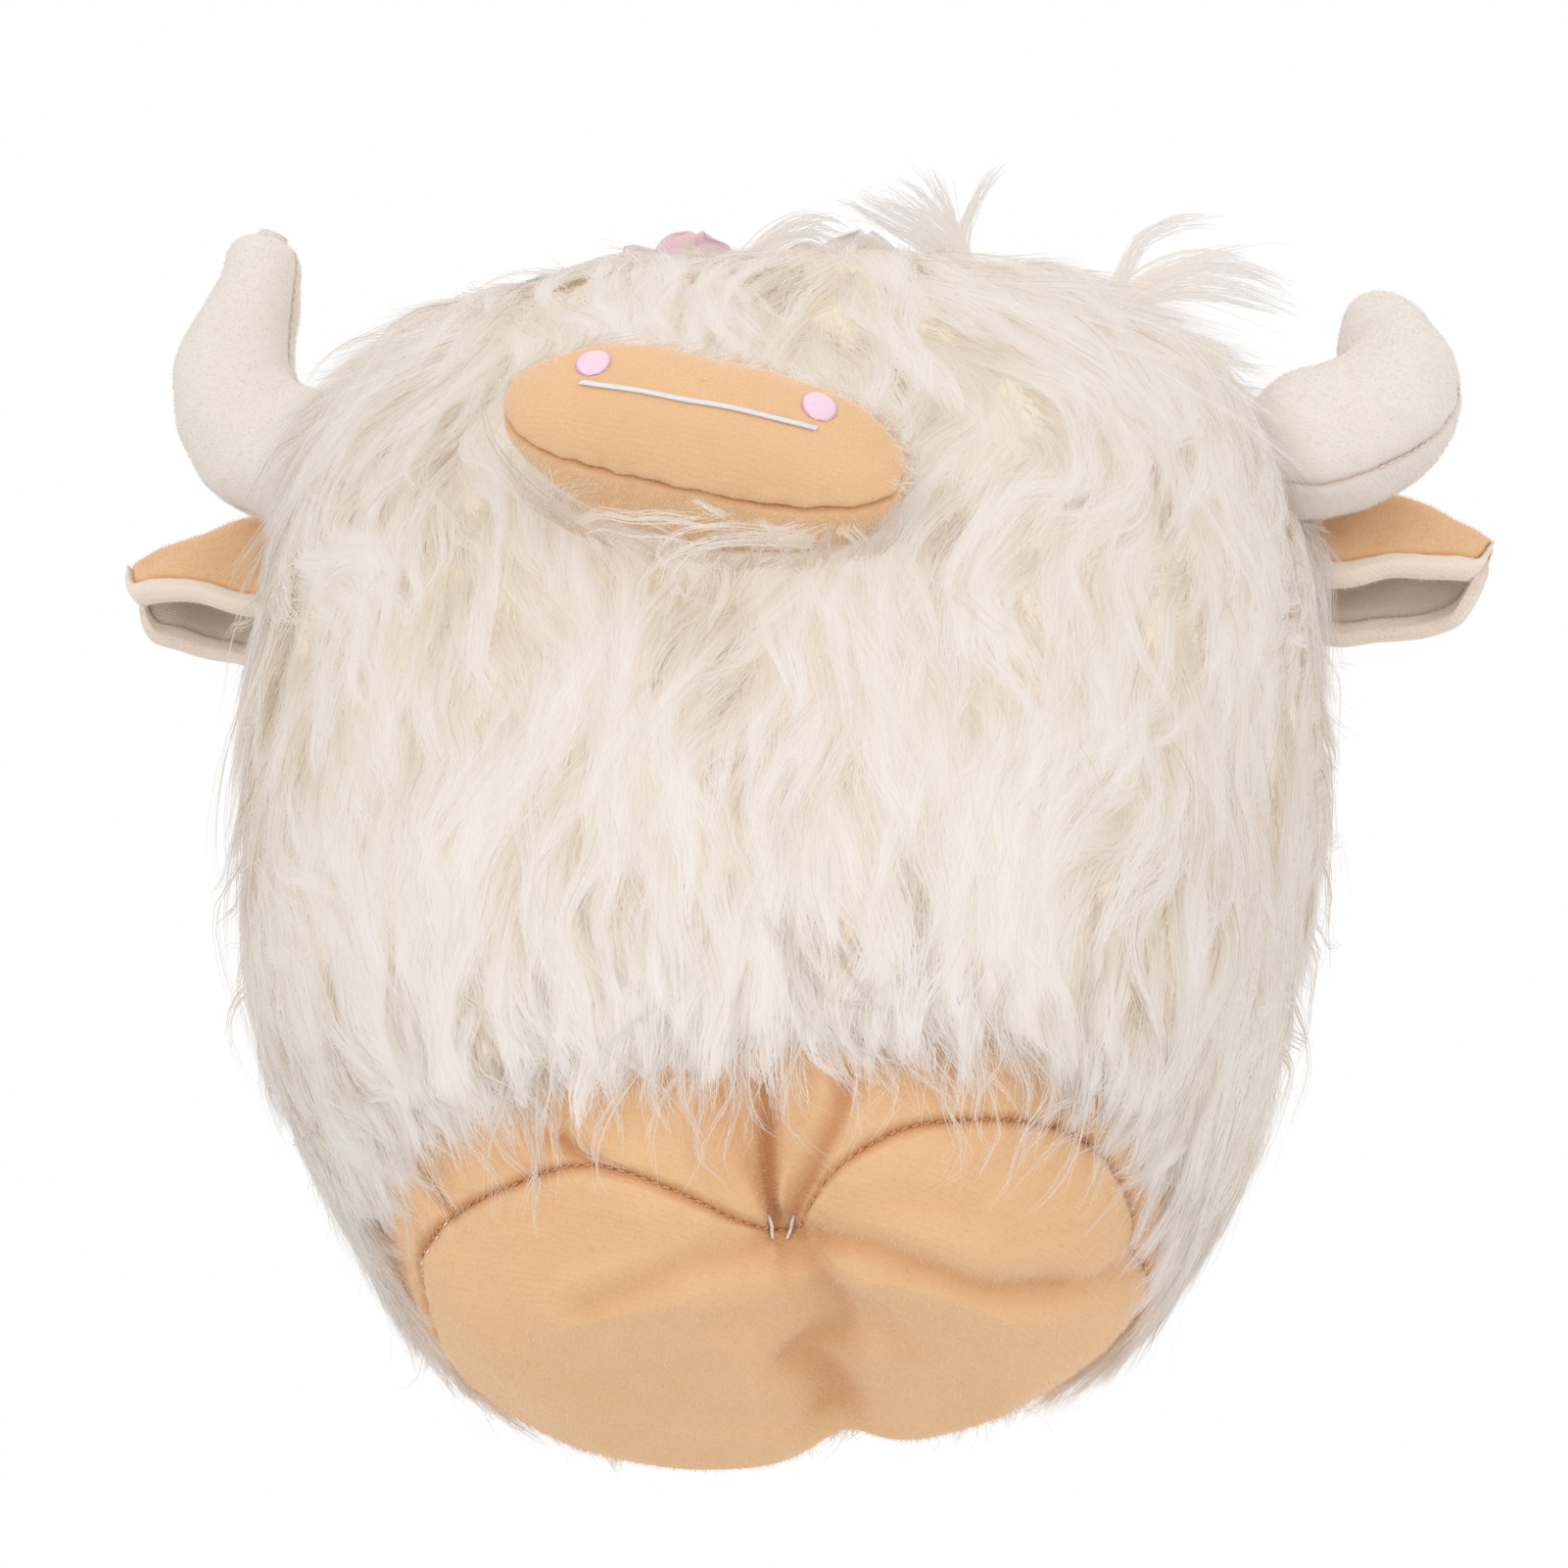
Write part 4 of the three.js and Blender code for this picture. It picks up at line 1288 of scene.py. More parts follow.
SOLE_SEAM_PIXELS: Pixels = (
    (437, 1310), (465, 1240), (520, 1212), (615, 1190), (700, 1220), (760, 1250), (795, 1256),
    (830, 1240), (852, 1200), (900, 1162), (1000, 1143), (1090, 1156), (1150, 1225), (1168, 1300),
)
LEFT_SIDE_SEAM_PIXELS: Pixels = ((408, 1120), (414, 1150), (428, 1185), (448, 1215), (466, 1240))
BASE_CREASES = (
    Crease(((783, 1100), (782, 1140), (783, 1180), (786, 1220), (792, 1250)), 0.0042, 0.0026, 0.75),
    Crease(((868, 1100), (858, 1135), (845, 1165), (832, 1200), (812, 1240)), 0.0034, 0.0026, 0.6),
    Crease(((735, 1115), (750, 1150), (766, 1190), (782, 1232)), 0.0016, 0.0030, 0.3),
    Crease(((572, 1162), (590, 1176), (612, 1188)), 0.0024, 0.0024, 0.8),
    Crease(LEFT_SIDE_SEAM_PIXELS, 0.0020, 0.0016, 0.75),
    Crease(((790, 1258), (760, 1275), (700, 1292), (650, 1315), (600, 1332)), 0.0024, 0.0050, 0.3),
    Crease(((800, 1258), (830, 1262), (870, 1268), (950, 1298), (1010, 1316), (1080, 1314)), 0.0032, 0.0042, 0.45),
    Crease(((1010, 1316), (1100, 1308), (1165, 1282)), 0.0018, 0.0040, 0.3),
    Crease(((806, 1262), (835, 1300), (840, 1360), (846, 1400), (850, 1430)), 0.0034, 0.0060, 0.35),
    Crease(((812, 1262), (850, 1300), (900, 1340), (935, 1380)), 0.0012, 0.0050, 0.15),
    Crease(((870, 1230), (925, 1225), (985, 1232)), 0.0010, 0.0050, 0.12),
    Crease(((690, 1262), (620, 1268), (560, 1290)), 0.0010, 0.0060, 0.10),
)
PINCH_STITCH_PIXELS = (((779, 1238), (786, 1266)), ((803, 1266), (812, 1240)))
SIDE_STITCH_PIXELS = (((437, 1312), (448, 1275), (464, 1243)), ((1152, 1229), (1166, 1262), (1167, 1300)))


@dataclass
class BaseCloth:
    """The tan base: a sole panel and a band round it, sewn, and drawn in at the front to make two feet."""

    body_map: BodyMap
    camera: PhotoCamera
    columns: int = 432
    sole_rows: int = 108
    band_rows: int = 40
    cloth: float = 0.0019
    thickness: float = 0.0015
    groove_depth: float = 0.0019
    groove_half_width: float = 0.0014
    swell_depth: float = 0.0005
    swell_half_width: float = 0.0050
    lump_height: float = 0.0007
    lump_size: float = 0.034
    pucker_height: float = 0.00034
    pucker_size: float = 0.0060
    pucker_reach: float = 0.0070
    tuck_share: float = 0.012
    middle_share: float = 0.0002
    front_turn: float = 0.75
    band_half_turn: float = 7 / 48
    seam_gap_share: float = 0.00012
    fuzz_count: int = 52000
    pinch_thread_radius: float = 0.0004
    edges: list[Array] = field(default_factory=list)

    def __post_init__(self) -> None:
        """Finds the seams and creases on the body."""
        form = self.body_map.form
        seen = self.body_map.seen_at(self.camera, SOLE_SEAM_PIXELS)
        order = np.argsort(seen[:, 0])
        self.seam_places = seen[order]
        turns = np.linspace(0, 1, self.columns * 2, endpoint=False)
        self.seam_path = form.points(turns, self.seam_share(turns))
        self.side_turns = (self.left_side_turn(), self.front_turn + self.band_half_turn)
        self.crease_paths = [
            self.path_on_body(crease.pixels) for crease in BASE_CREASES
        ]

    def path_on_body(self, pixels: Pixels, steps: int = 60) -> Array:
        """The curve on the body that a row of pixels shows."""
        seen = self.body_map.seen_at(self.camera, pixels)
        seen[:, 0] += seen[:, 0] < 0.25
        places = densify(seen, steps)
        return self.body_map.form.points(places[:, 0], places[:, 1])

    def left_side_turn(self) -> float:
        """The turn share at which the left side seam meets the sole's seam."""
        seen = self.body_map.seen_at(self.camera, LEFT_SIDE_SEAM_PIXELS)
        return float(seen[:, 0].mean())

    def seam_share(self, turn: Array) -> Array:
        """Where the sole's seam lies at a share of a turn.

        Args:
            turn: Shares of a turn.

        Returns:
            Shares of the profile, as photographed in front and level behind.
        """
        form = self.body_map.form
        turn = np.asarray(turn, float) % 1
        first, last = self.seam_places[0], self.seam_places[-1]
        table = np.column_stack([self.seam_places[:, 0], self.seam_places[:, 1]])
        front = through(table, turn)[..., 0]
        level = form.sole_seam_share
        fade = 0.05
        into = ease(turn, first[0] - fade, first[0])
        out = 1 - ease(turn, last[0], last[0] + fade)
        return mix(level, front, into * out)

    def relief(self, points: Array) -> tuple[Array, Array]:
        """How far the cloth stands off its even form, and how much painted shade darkens it.

        Args:
            points: Places on the even form.

        Returns:
            The height and the painted shade at each place.
        """
        seam = nearest_on(self.seam_path, points)
        height = Ripple(5, self.lump_size).at(points) * self.lump_height
        height = height + self.swell_depth * bell(seam - self.swell_half_width, self.swell_half_width)
        cut = self.groove_depth * bell(seam, self.groove_half_width)
        puckers = Ripple(6, self.pucker_size).at(points) * self.pucker_height
        height = height + puckers * np.exp(-seam / self.pucker_reach)
        # Painted shade: darker in the seam's groove and along each crease.
        shade = 0.85 * bell(seam, 0.8 * self.groove_half_width)
        for crease, path in zip(BASE_CREASES, self.crease_paths):
            gap = nearest_on(path, points)
            cut = np.maximum(cut, crease.depth * bell(gap, crease.half_width))
            height = height + 0.2 * crease.depth * bell(gap - 2 * crease.half_width, crease.half_width)
            shade = np.maximum(shade, crease.shade * bell(gap, 0.7 * crease.half_width))
        return height - cut, np.clip(shade, 0, 1)

    def laid(self, points: Array, normals: Array, lift: float) -> Array:
        """Puts places of the even form on the finished cloth, or a little above it."""
        return points + normals * (self.cloth + lift + self.relief(points)[0])[:, None]

    def panel(self, name: str, turn: Array, share: Array, wrap: bool) -> bpy.types.Object:
        """One panel of the base.

        Args:
            name: The node that the panel stands for.
            turn: Shares of a turn, rows by columns.
            share: Shares of the profile, rows by columns.
            wrap: Whether it goes all the way round.

        Returns:
            The finished piece.
        """
        form = self.body_map.form
        even = form.points(turn, share)
        normal = form.normals(turn, share)
        height, shade = self.relief(even)
        outer = even + normal * (self.cloth + height)[..., None]
        floor = 0.00002
        outer[..., 2] = np.maximum(outer[..., 2], floor)
        inner = outer - normal * self.thickness
        inner[..., 2] = np.maximum(inner[..., 2], outer[..., 2] * 0 + floor / 2)
        self.edges.append(outer)
        piece = shell(outer, inner, wrap, shade).piece(name + "_cloth", tan_knit)
        return settle(piece, "body", "tan_knit", name)

    def build(self) -> None:
        """Makes the sole, the two bands, their seams and their nap."""
        form = self.body_map.form
        turns = np.arange(self.columns) / self.columns
        rows = np.linspace(0, 1, self.sole_rows + 1)[:, None] ** 0.85
        sole_share = self.middle_share + rows * (self.seam_share(turns) - self.seam_gap_share - self.middle_share)
        sole_turn = np.broadcast_to(turns, sole_share.shape)
        self.panel("sole_panel", sole_turn, sole_share, True)
        start, end = self.side_turns
        front_columns = int(self.columns * (end - start))
        for name, first, last, columns in (
            ("foot_front_panel", start, end, front_columns),
            ("base_band", end, start + 1, self.columns - front_columns),
        ):
            gap = 0.0001
            line = np.linspace(first + gap, last - gap, columns + 1)
            rise = np.linspace(0, 1, self.band_rows + 1)[:, None]
            low = self.seam_share(line) + self.seam_gap_share
            share = low + rise * (form.hem_share + self.tuck_share - low)
            self.panel(name, np.broadcast_to(line, share.shape), share, False)
        self.sew()
        self.brush()

    def sew(self) -> None:
        """Lays the threads of the seams."""
        form = self.body_map.form
        turns = np.linspace(0, 1, 1200)
        share = self.seam_share(turns)
        normals = form.normals(turns, share)
        seam = StitchRow(slant=0.15).skin(self.laid(form.points(turns, share), normals, 0.0001), normals)
        for turn in self.side_turns:
            share = mix(float(self.seam_share(turn)), form.hem_share, np.linspace(0, 1, 60))
            normals = form.normals(turn + 0 * share, share)
            path = self.laid(form.points(turn + 0 * share, share), normals, 0.0)
            seam = seam.joined(StitchRow(radius=0.00022).skin(path, normals))
        settle(seam.piece("sole_seam_thread", tan_thread), "body", "tan_knit")
        rows = []
        for pixels in SIDE_STITCH_PIXELS:
            place, normal, _ = self.body_map.snap(self.path_on_body(pixels, 40))
            row = StitchRow(pitch=0.0042, length=0.0013, radius=0.0002)
            rows.append(row.skin(self.laid(place, normal, 0.0004), normal))
        for pixels in PINCH_STITCH_PIXELS:
            place, normal, _ = self.body_map.snap(self.path_on_body(pixels, 12))
            rise = 0.0003 + 0.0007 * np.sin(np.linspace(0, math.pi, len(place)))[:, None]
            rows.append(tube(self.laid(place, normal, 0.0) + normal * rise, self.pinch_thread_radius))
        threads = rows[0]
        for row in rows[1:]:
            threads = threads.joined(row)
        settle(threads.piece("side_seam_threads", white_thread), "body", "white_thread")

    def brush(self) -> None:
        """Raises the nap over the whole base."""
        for number, (grid, share) in enumerate(zip(self.edges, (0.56, 0.17, 0.27))):
            rows, width = grid.shape[:2]
            wrap = number == 0
            faces = grid_faces(width if wrap else width - 1, rows - 1, wrap)
            nap = Fuzz(seed=20 + number).skin(grid.reshape(-1, 3), faces, int(self.fuzz_count * share))
            settle(nap.piece(f"base_nap_{number + 1}", tan_nap), "body", "tan_knit")


@dataclass
class Muzzle:
    """The pillow muzzle: two domed panels joined round the rim, with an embroidered mouth and nostrils."""

    form: BodyForm
    half_width: float = 0.043
    half_height: float = 0.015
    front_depth: float = 0.015
    back_depth: float = 0.026
    squareness: float = 2.5
    dome_squareness: float = 2.6
    dome_roundness: float = 0.62
    height: float = 0.161
    sidestep: float = 0.009
    roll: float = math.radians(15.0)
    turn: float = math.radians(13.0)
    backing_gap: float = 0.004
    cloth: float = 0.0019
    thickness: float = 0.0015
    columns: int = 168
    rows: int = 44
    groove_depth: float = 0.0013
    groove_half_width: float = 0.0014
    pucker_height: float = 0.0005
    lump_height: float = 0.0004
    stitch_clearance: float = 0.0001
    stitch_depth: float = 0.0019
    mouth_length: float = 0.052
    mouth_width: float = 0.0018
    mouth_drop: float = 0.0045
    mouth_sag: float = 0.0015
    nostril_radius: float = 0.0040
    nostril_spread: float = 0.025
    nostril_rise: float = 0.0014
    nostril_height: float = 0.0006
    thread_radius: float = 0.00023
    fuzz_count: int = 22000

    def __post_init__(self) -> None:
        """Works out where the muzzle sits."""
        out = -self.form.half_depth - self.back_depth - self.cloth - self.backing_gap
        self.origin = np.array([self.sidestep, out, self.height]) + self.form.offset
        self.rotation = turned("Z", self.turn) @ turned("Y", self.roll)

    def to_toy(self, local: Array) -> Array:
        """Turns the muzzle's own places into the toy's."""
        return local @ self.rotation.T + self.origin

    def to_local(self, points: Array) -> Array:
        """Turns the toy's places into the muzzle's own."""
        return (points - self.origin) @ self.rotation

    def dome(self, angle: Array, reach: Array, half: Half, grow: Array | float = 0.0) -> Array:
        """Places on one panel, in the muzzle's own frame.

        Args:
            angle: Angle round the muzzle.
            reach: Share of the way from the middle to the rim.
            half: Which panel.
            grow: How far outside the filling.

        Returns:
            The places.
        """
        power = self.squareness
        square = (np.abs(np.cos(angle)) ** power + np.abs(np.sin(angle)) ** power) ** (-1 / power)
        depth = -self.front_depth if half is Half.FRONT else self.back_depth
        rise = np.maximum(0, 1 - reach**self.dome_squareness) ** self.dome_roundness
        wide = 1 + grow / self.half_width
        high = 1 + grow / self.half_height
        deep = 1 + grow / abs(depth)
        return np.stack([
            self.half_width * wide * reach * np.cos(angle) * square,
            depth * deep * rise,
            self.half_height * high * reach * np.sin(angle) * square,
        ], -1)

    def clear(self, points: Array, margin: float = 0.0035) -> Array:
        """Moves points that lie inside the muzzle out past its rim.

        Args:
            points: The toy's places.
            margin: How much room is left round the muzzle.

        Returns:
            The moved places.
        """
        local = self.to_local(points)
        across = np.abs(local[..., 0] / (self.half_width + margin)) ** self.squareness
        upward = np.abs(local[..., 2] / (self.half_height + margin)) ** self.squareness
        rim = (across + upward) ** (1 / self.squareness)
        depth = np.where(local[..., 1] < 0, self.front_depth, self.back_depth) + margin
        deep = np.abs(local[..., 1]) / depth
        room = np.maximum(0.0, 1 - deep ** (1 / self.dome_roundness)) ** (1 / self.dome_squareness)
        push = np.where((rim < room) & (deep < 1), room / np.maximum(rim, 0.12), 1.0)
        moved = local.copy()
        moved[..., 0] *= push
        moved[..., 2] *= push
        return self.to_toy(moved)

    def covers(self, points: Array, share: float) -> Array:
        """Whether places on the body lie behind the muzzle's middle.

        Args:
            points: The toy's places.
            share: How much of the way to the rim counts as the middle.

        Returns:
            True where the place is covered.
        """
        local = self.to_local(points)
        rim = (local[..., 0] / self.half_width) ** 2 + (local[..., 2] / self.half_height) ** 2
        return (rim < share**2) & (local[..., 1] < 3 * self.back_depth)

    def face(self, across: Array, up: Array) -> Array:
        """Places on the front panel's cloth at distances across and up it, in the toy's frame."""
        starts = self.to_toy(np.stack([across, 0 * across - 2 * self.half_width, up], -1))
        way = Vector(self.rotation[:, 1])
        return np.array([self.front_tree.ray_cast(Vector(start), way)[0] for start in starts])

    def build(self) -> None:
        """Makes the panels, the filling, the seam, the mouth and the nostrils."""
        angle = np.arange(self.columns) * FULL_TURN / self.columns
        polar = np.linspace(0.0006, 0.5, self.rows + 1)[:, None] * math.pi
        for number, half in enumerate(Half):
            reach = np.sin(polar) + 0 * angle
            local = self.dome(angle + 0 * reach, reach, half, self.cloth)
            toy = self.to_toy(local)
            rim_gap = (1 - reach) * self.half_height + np.abs(local[..., 1])
            lumps = Ripple(31, 0.026).at(toy) * self.lump_height
            puckers = Ripple(32, 0.0065).at(toy) * self.pucker_height * np.exp(-rim_gap / 0.004)
            groove = self.groove_depth * bell(rim_gap, 0.0006) + 0.5 * self.groove_depth * bell(
                rim_gap, self.groove_half_width
            )
            outward = toy - self.origin
            outer = offset_grid(toy, lumps + puckers, outward)
            pull = unit(outward) * groove[..., None]
            outer = outer - pull
            if half is Half.FRONT:
                faces = grid_faces(self.columns, self.rows, True)
                self.front_tree = BVHTree.FromPolygons(outer.reshape(-1, 3).tolist(), faces.tolist())
            inner = outer - unit(outward) * self.thickness
            # Painted shade: darker in the groove round the rim, and on the back panel towards its middle, where it
            # lies against the body.
            shade = 0.8 * bell(rim_gap, 0.0006) + 0.12 * bell(rim_gap, 0.002)
            if half is Half.BACK:
                shade = np.clip(shade + 0.15 * (1 - reach), 0, 1)
            cloth = shell(outer, inner, True, shade).piece(f"muzzle_{half.value}_cloth", tan_knit)
            settle(cloth, "body", "tan_knit", f"muzzle_{half.value}_panel")
            nap = Fuzz(seed=40 + number, length=0.0011).skin(
                outer.reshape(-1, 3), grid_faces(self.columns, self.rows, True), self.fuzz_count
            )
            settle(nap.piece(f"muzzle_{half.value}_nap", muzzle_nap), "body", "tan_knit")
        self.stuff()
        self.sew(angle)

    def stuff(self) -> None:
        """Fills the muzzle."""
        angle = np.arange(48) * FULL_TURN / 48
        parts = []
        for half, line in ((Half.FRONT, np.linspace(0.02, 0.5, 10)), (Half.BACK, np.linspace(0.5, 0.02, 10)[1:])):
            reach = np.sin(line * math.pi)[:, None] + 0 * angle
            parts.append(self.to_toy(self.dome(angle + 0 * reach, reach, half) * 0.93))
        filling_piece("muzzle_filling", np.concatenate(parts), True, "body")

    def sew(self, angle: Array) -> None:
        """Lays the rim's stitches, the mouth and the nostrils."""
        rim = self.to_toy(self.dome(angle, 1 + 0 * angle, Half.FRONT, self.cloth - self.stitch_depth))
        rim = np.concatenate([rim, rim[:1]])
        seam = StitchRow(pitch=0.0023, length=0.0018).skin(rim, unit(rim - self.origin))
        settle(seam.piece("muzzle_seam_thread", tan_thread), "body", "tan_knit")
        along = np.linspace(-0.5, 0.5, 160)
        sag = self.mouth_sag * (1 - 4 * along**2)
        outward = np.broadcast_to(-self.rotation[:, 1], (len(along), 3))
        line = self.face(self.mouth_length * along, -self.mouth_drop - sag)
        line = line + outward * (self.stitch_clearance + self.thread_radius)
        satin = StitchRow(pitch=0.00041, length=self.mouth_width, radius=self.thread_radius, proud=0.0001, slant=2.6)
        settle(satin.skin(line, outward).piece("mouth_stitches", white_thread), "body", "white_thread", "mouth_line")
        for side in Side:
            threads = None
            pitch = 1.7 * self.thread_radius
            for place in np.arange(-self.nostril_radius, self.nostril_radius, pitch):
                half_chord = math.sqrt(max(0, self.nostril_radius**2 - place**2))
                if half_chord < 3 * self.thread_radius:
                    continue
                chord = np.linspace(-half_chord, half_chord, 9)
                reach = np.sqrt(chord**2 + place**2) / self.nostril_radius
                lift = self.stitch_clearance + self.nostril_height * np.sqrt(np.maximum(0, 1 - reach**2))
                slant = 0.35
                across = side.value * self.nostril_spread + chord * math.cos(slant) - place * math.sin(slant)
                up = self.nostril_rise + chord * math.sin(slant) + place * math.cos(slant)
                path = self.face(across, up) - self.rotation[:, 1] * lift[:, None]
                thread = tube(path, self.thread_radius)
                threads = thread if threads is None else threads.joined(thread)
            name = f"nostril_{side.word}"
            settle(threads.piece(name + "_stitches", pink_thread), "body", "pink_thread", name)


def joint_place(name: str) -> Array:
    """Where a joint's axis passes, in the toy's frame."""
    found = next(joint for joint in frame["joints"] if joint["name"] == name)
    return np.array(found["pos_m"], float)


@dataclass
class Horn:
    """A stuffed horn: a round root, a curve outward and up, and a round tip, sewn from two panels."""

    side: Side
    form: BodyForm
    base_radius: float = 0.0165
    tip_radius: float = 0.0065
    length: float = 0.070
    start_angle: float = math.radians(16)
    end_angle: float = math.radians(102)
    bend_share: float = 0.55
    seat_share_left: float = 0.612
    seat_share_right: float = 0.578
    lean_left: float = math.radians(24)
    lean_right: float = math.radians(-14)
    cloth: float = 0.0019
    thickness: float = 0.0014
    columns: int = 72
    rows: int = 120
    groove_depth: float = 0.0008
    groove_half_width: float = 0.0012
    lump_height: float = 0.0005
    radius_shares: tuple[tuple[float, float], ...] = ((0, 1), (0.25, 0.92), (0.5, 0.66), (0.75, 0.32), (1, 0))
    fuzz_count: int = 16000

    def __post_init__(self) -> None:
        """Works out where the horn is sewn on and how it stands."""
        form, side = self.form, self.side
        left = side is Side.LEFT
        share = mix(form.hem_share, 1.0, self.seat_share_left if left else self.seat_share_right)
        seat = form.points(np.array([0.5 if left else 0.0]), np.array([share]))[0] - form.offset
        lean = self.lean_left if left else self.lean_right
        tilt = float(form.tilt_at(seat[2]))
        self.rotation = turned("Y", tilt) @ turned("X", lean)
        self.origin = joint_place(f"horn_{side.word}_bend")

    def radius_at(self, distance: Array) -> Array:
        """The filling's radius at a distance along the middle line."""
        share = through(self.radius_shares, distance / self.length)[..., 0]
        radius = mix(self.tip_radius, self.base_radius, share)
        into_tip = np.maximum(0, distance - (self.length - self.tip_radius)) / self.tip_radius
        shaft = radius * np.sqrt(np.maximum(0, 1 - into_tip**2))
        root = np.sqrt(np.maximum(0, self.base_radius**2 - distance**2))
        return np.where(distance < 0, root, shaft)

    def middle(self, distance: Array) -> tuple[Array, Array]:
        """The middle line and its inward direction, in the horn's own frame.

        Args:
            distance: Distances along the line.

        Returns:
            The places and the directions to the inside of the bend.
        """
        start = self.start_angle
        bend_length = self.bend_share * self.length
        bend = (self.end_angle - start) / bend_length
        bent = np.clip(distance, 0, bend_length)
        heading = start + bend * bent
        straight = distance - bent
        outward = (np.sin(heading) - math.sin(start)) / bend + straight * np.cos(heading)
        upward = (math.cos(start) - np.cos(heading)) / bend + straight * np.sin(heading)
        sign = self.side.value
        centre = np.stack([sign * outward, 0 * outward, upward], -1)
        return centre, np.stack([-sign * np.sin(heading), 0 * heading, np.cos(heading)], -1)

    def surface(self, angle: Array, distance: Array, grow: Array | float) -> Array:
        """Places on the horn, in the toy's frame.

        Args:
            angle: Angle round the middle line, 0 on the inside of the bend.
            distance: Distance along the middle line.
            grow: How far outside the filling.

        Returns:
            The places.
        """
        centre, inward = self.middle(distance)
        radius = self.radius_at(distance)
        stretch = 1 + grow / np.maximum(radius, 0.2 * self.tip_radius)
        pole_push = np.where(radius < 0.3 * self.tip_radius, grow, 0)
        round_part = inward * (radius * np.cos(angle))[..., None]
        round_part[..., 1] += radius * np.sin(angle)
        ahead = np.cross(inward, np.array([0.0, -self.side.value, 0.0]))
        way = np.where(distance < 0, -1.0, 1.0) * pole_push
        local = centre + round_part * stretch[..., None] + ahead * way[..., None] * 0.8
        return local @ self.rotation.T + self.origin

    def spheres(self) -> list[tuple[Array, float]]:
        """Balls that fill the horn, for fur to keep clear of."""
        found = []
        for distance in np.linspace(0, self.length, 9):
            centre, _ = self.middle(np.array([distance]))
            radius = float(self.radius_at(np.array([distance]))[0])
            found.append((centre[0] @ self.rotation.T + self.origin, max(radius, self.tip_radius) + self.cloth))
        return found

    def build(self) -> None:
        """Makes the two panels, the filling, the seam and the nap."""
        body = f"horn_{self.side.word}"
        lowest, highest = -self.base_radius * 0.999, self.length * 0.9995
        line = 0.5 - 0.5 * np.cos(np.linspace(0.02, 1, self.rows + 1) * math.pi)
        distance = (lowest + (highest - lowest) * line)[:, None]
        for number, half in enumerate(Half):
            first = math.pi if half is Half.FRONT else 0.0
            gap = 0.005
            angle = first + np.linspace(gap, math.pi - gap, self.columns // 2 + 1)[None]
            grid_angle, grid_distance = np.broadcast_arrays(angle, distance)
            radius = self.radius_at(grid_distance)
            edge = np.minimum(angle - first, first + math.pi - angle) * np.maximum(radius, 0.002)
            even = self.surface(grid_angle, grid_distance, self.cloth)
            lumps = Ripple(51 + self.side.value, 0.024).at(even) * self.lump_height
            folds = Ripple(53 + self.side.value, 0.008).at(even) * 0.00035 * np.exp(-edge / 0.005)
            groove = self.groove_depth * bell(edge, self.groove_half_width)
            outer = self.surface(grid_angle, grid_distance, self.cloth + lumps + folds - groove)
            inner = self.surface(grid_angle, grid_distance, self.cloth + lumps + folds - groove - self.thickness)
            # Painted shade: darker in the groove along the two seams.
            shade = 0.4 * bell(edge, 0.0007) + 0.10 * bell(edge, 0.003)
            node = f"{body}_{half.value}_panel"
            cloth = shell(outer, inner, False, shade).piece(f"{body}_{half.value}_cloth", horn_plush)
            settle(cloth, body, "horn_plush", node)
            faces = grid_faces(outer.shape[1] - 1, outer.shape[0] - 1, False)
            centre = self.middle(np.array([self.length / 3]))[0][0] @ self.rotation.T + self.origin
            corner = outer.reshape(-1, 3)[faces]
            facing = np.cross(corner[:, 2] - corner[:, 0], corner[:, 3] - corner[:, 1])
            if (facing * (corner.mean(1) - centre)).sum() < 0:
                faces = faces[:, ::-1]
            nap = Fuzz(seed=60 + 2 * self.side.value + number, length=0.0009, width=0.00009)
            settle(
                nap.skin(outer.reshape(-1, 3), faces, self.fuzz_count).piece(f"{body}_{half.value}_nap", horn_nap),
                body, "horn_plush",
            )
        self.stuff(body)
        self.sew(body)

    def stuff(self, body: str) -> None:
        """Fills the horn."""
        line = np.linspace(-0.995 * self.base_radius, 0.99 * self.length, 28)[:, None]
        angle = (np.arange(28) * FULL_TURN / 28)[None]
        grid_angle, grid_distance = np.broadcast_arrays(angle, line)
        filling_piece(f"{body}_filling", self.surface(grid_angle, grid_distance, -0.0004 + 0 * grid_angle), True, body)

    def sew(self, body: str) -> None:
        """Lays the seam threads along the inside and the outside of the bend."""
        distance = np.linspace(0.1 * self.length, 0.97 * self.length, 90)
        rows = []
        for angle in (0.0, math.pi):
            path = self.surface(angle + 0 * distance, distance, self.cloth - 0.65 * self.groove_depth)
            middle = self.middle(distance)[0] @ self.rotation.T + self.origin
            rows.append(StitchRow(pitch=0.0024, length=0.0018, radius=0.00022).skin(path, unit(path - middle)))
        thread = rows[0].joined(rows[1])
        settle(thread.piece(f"{body}_seam_thread", ear_lining), body, "horn_plush")


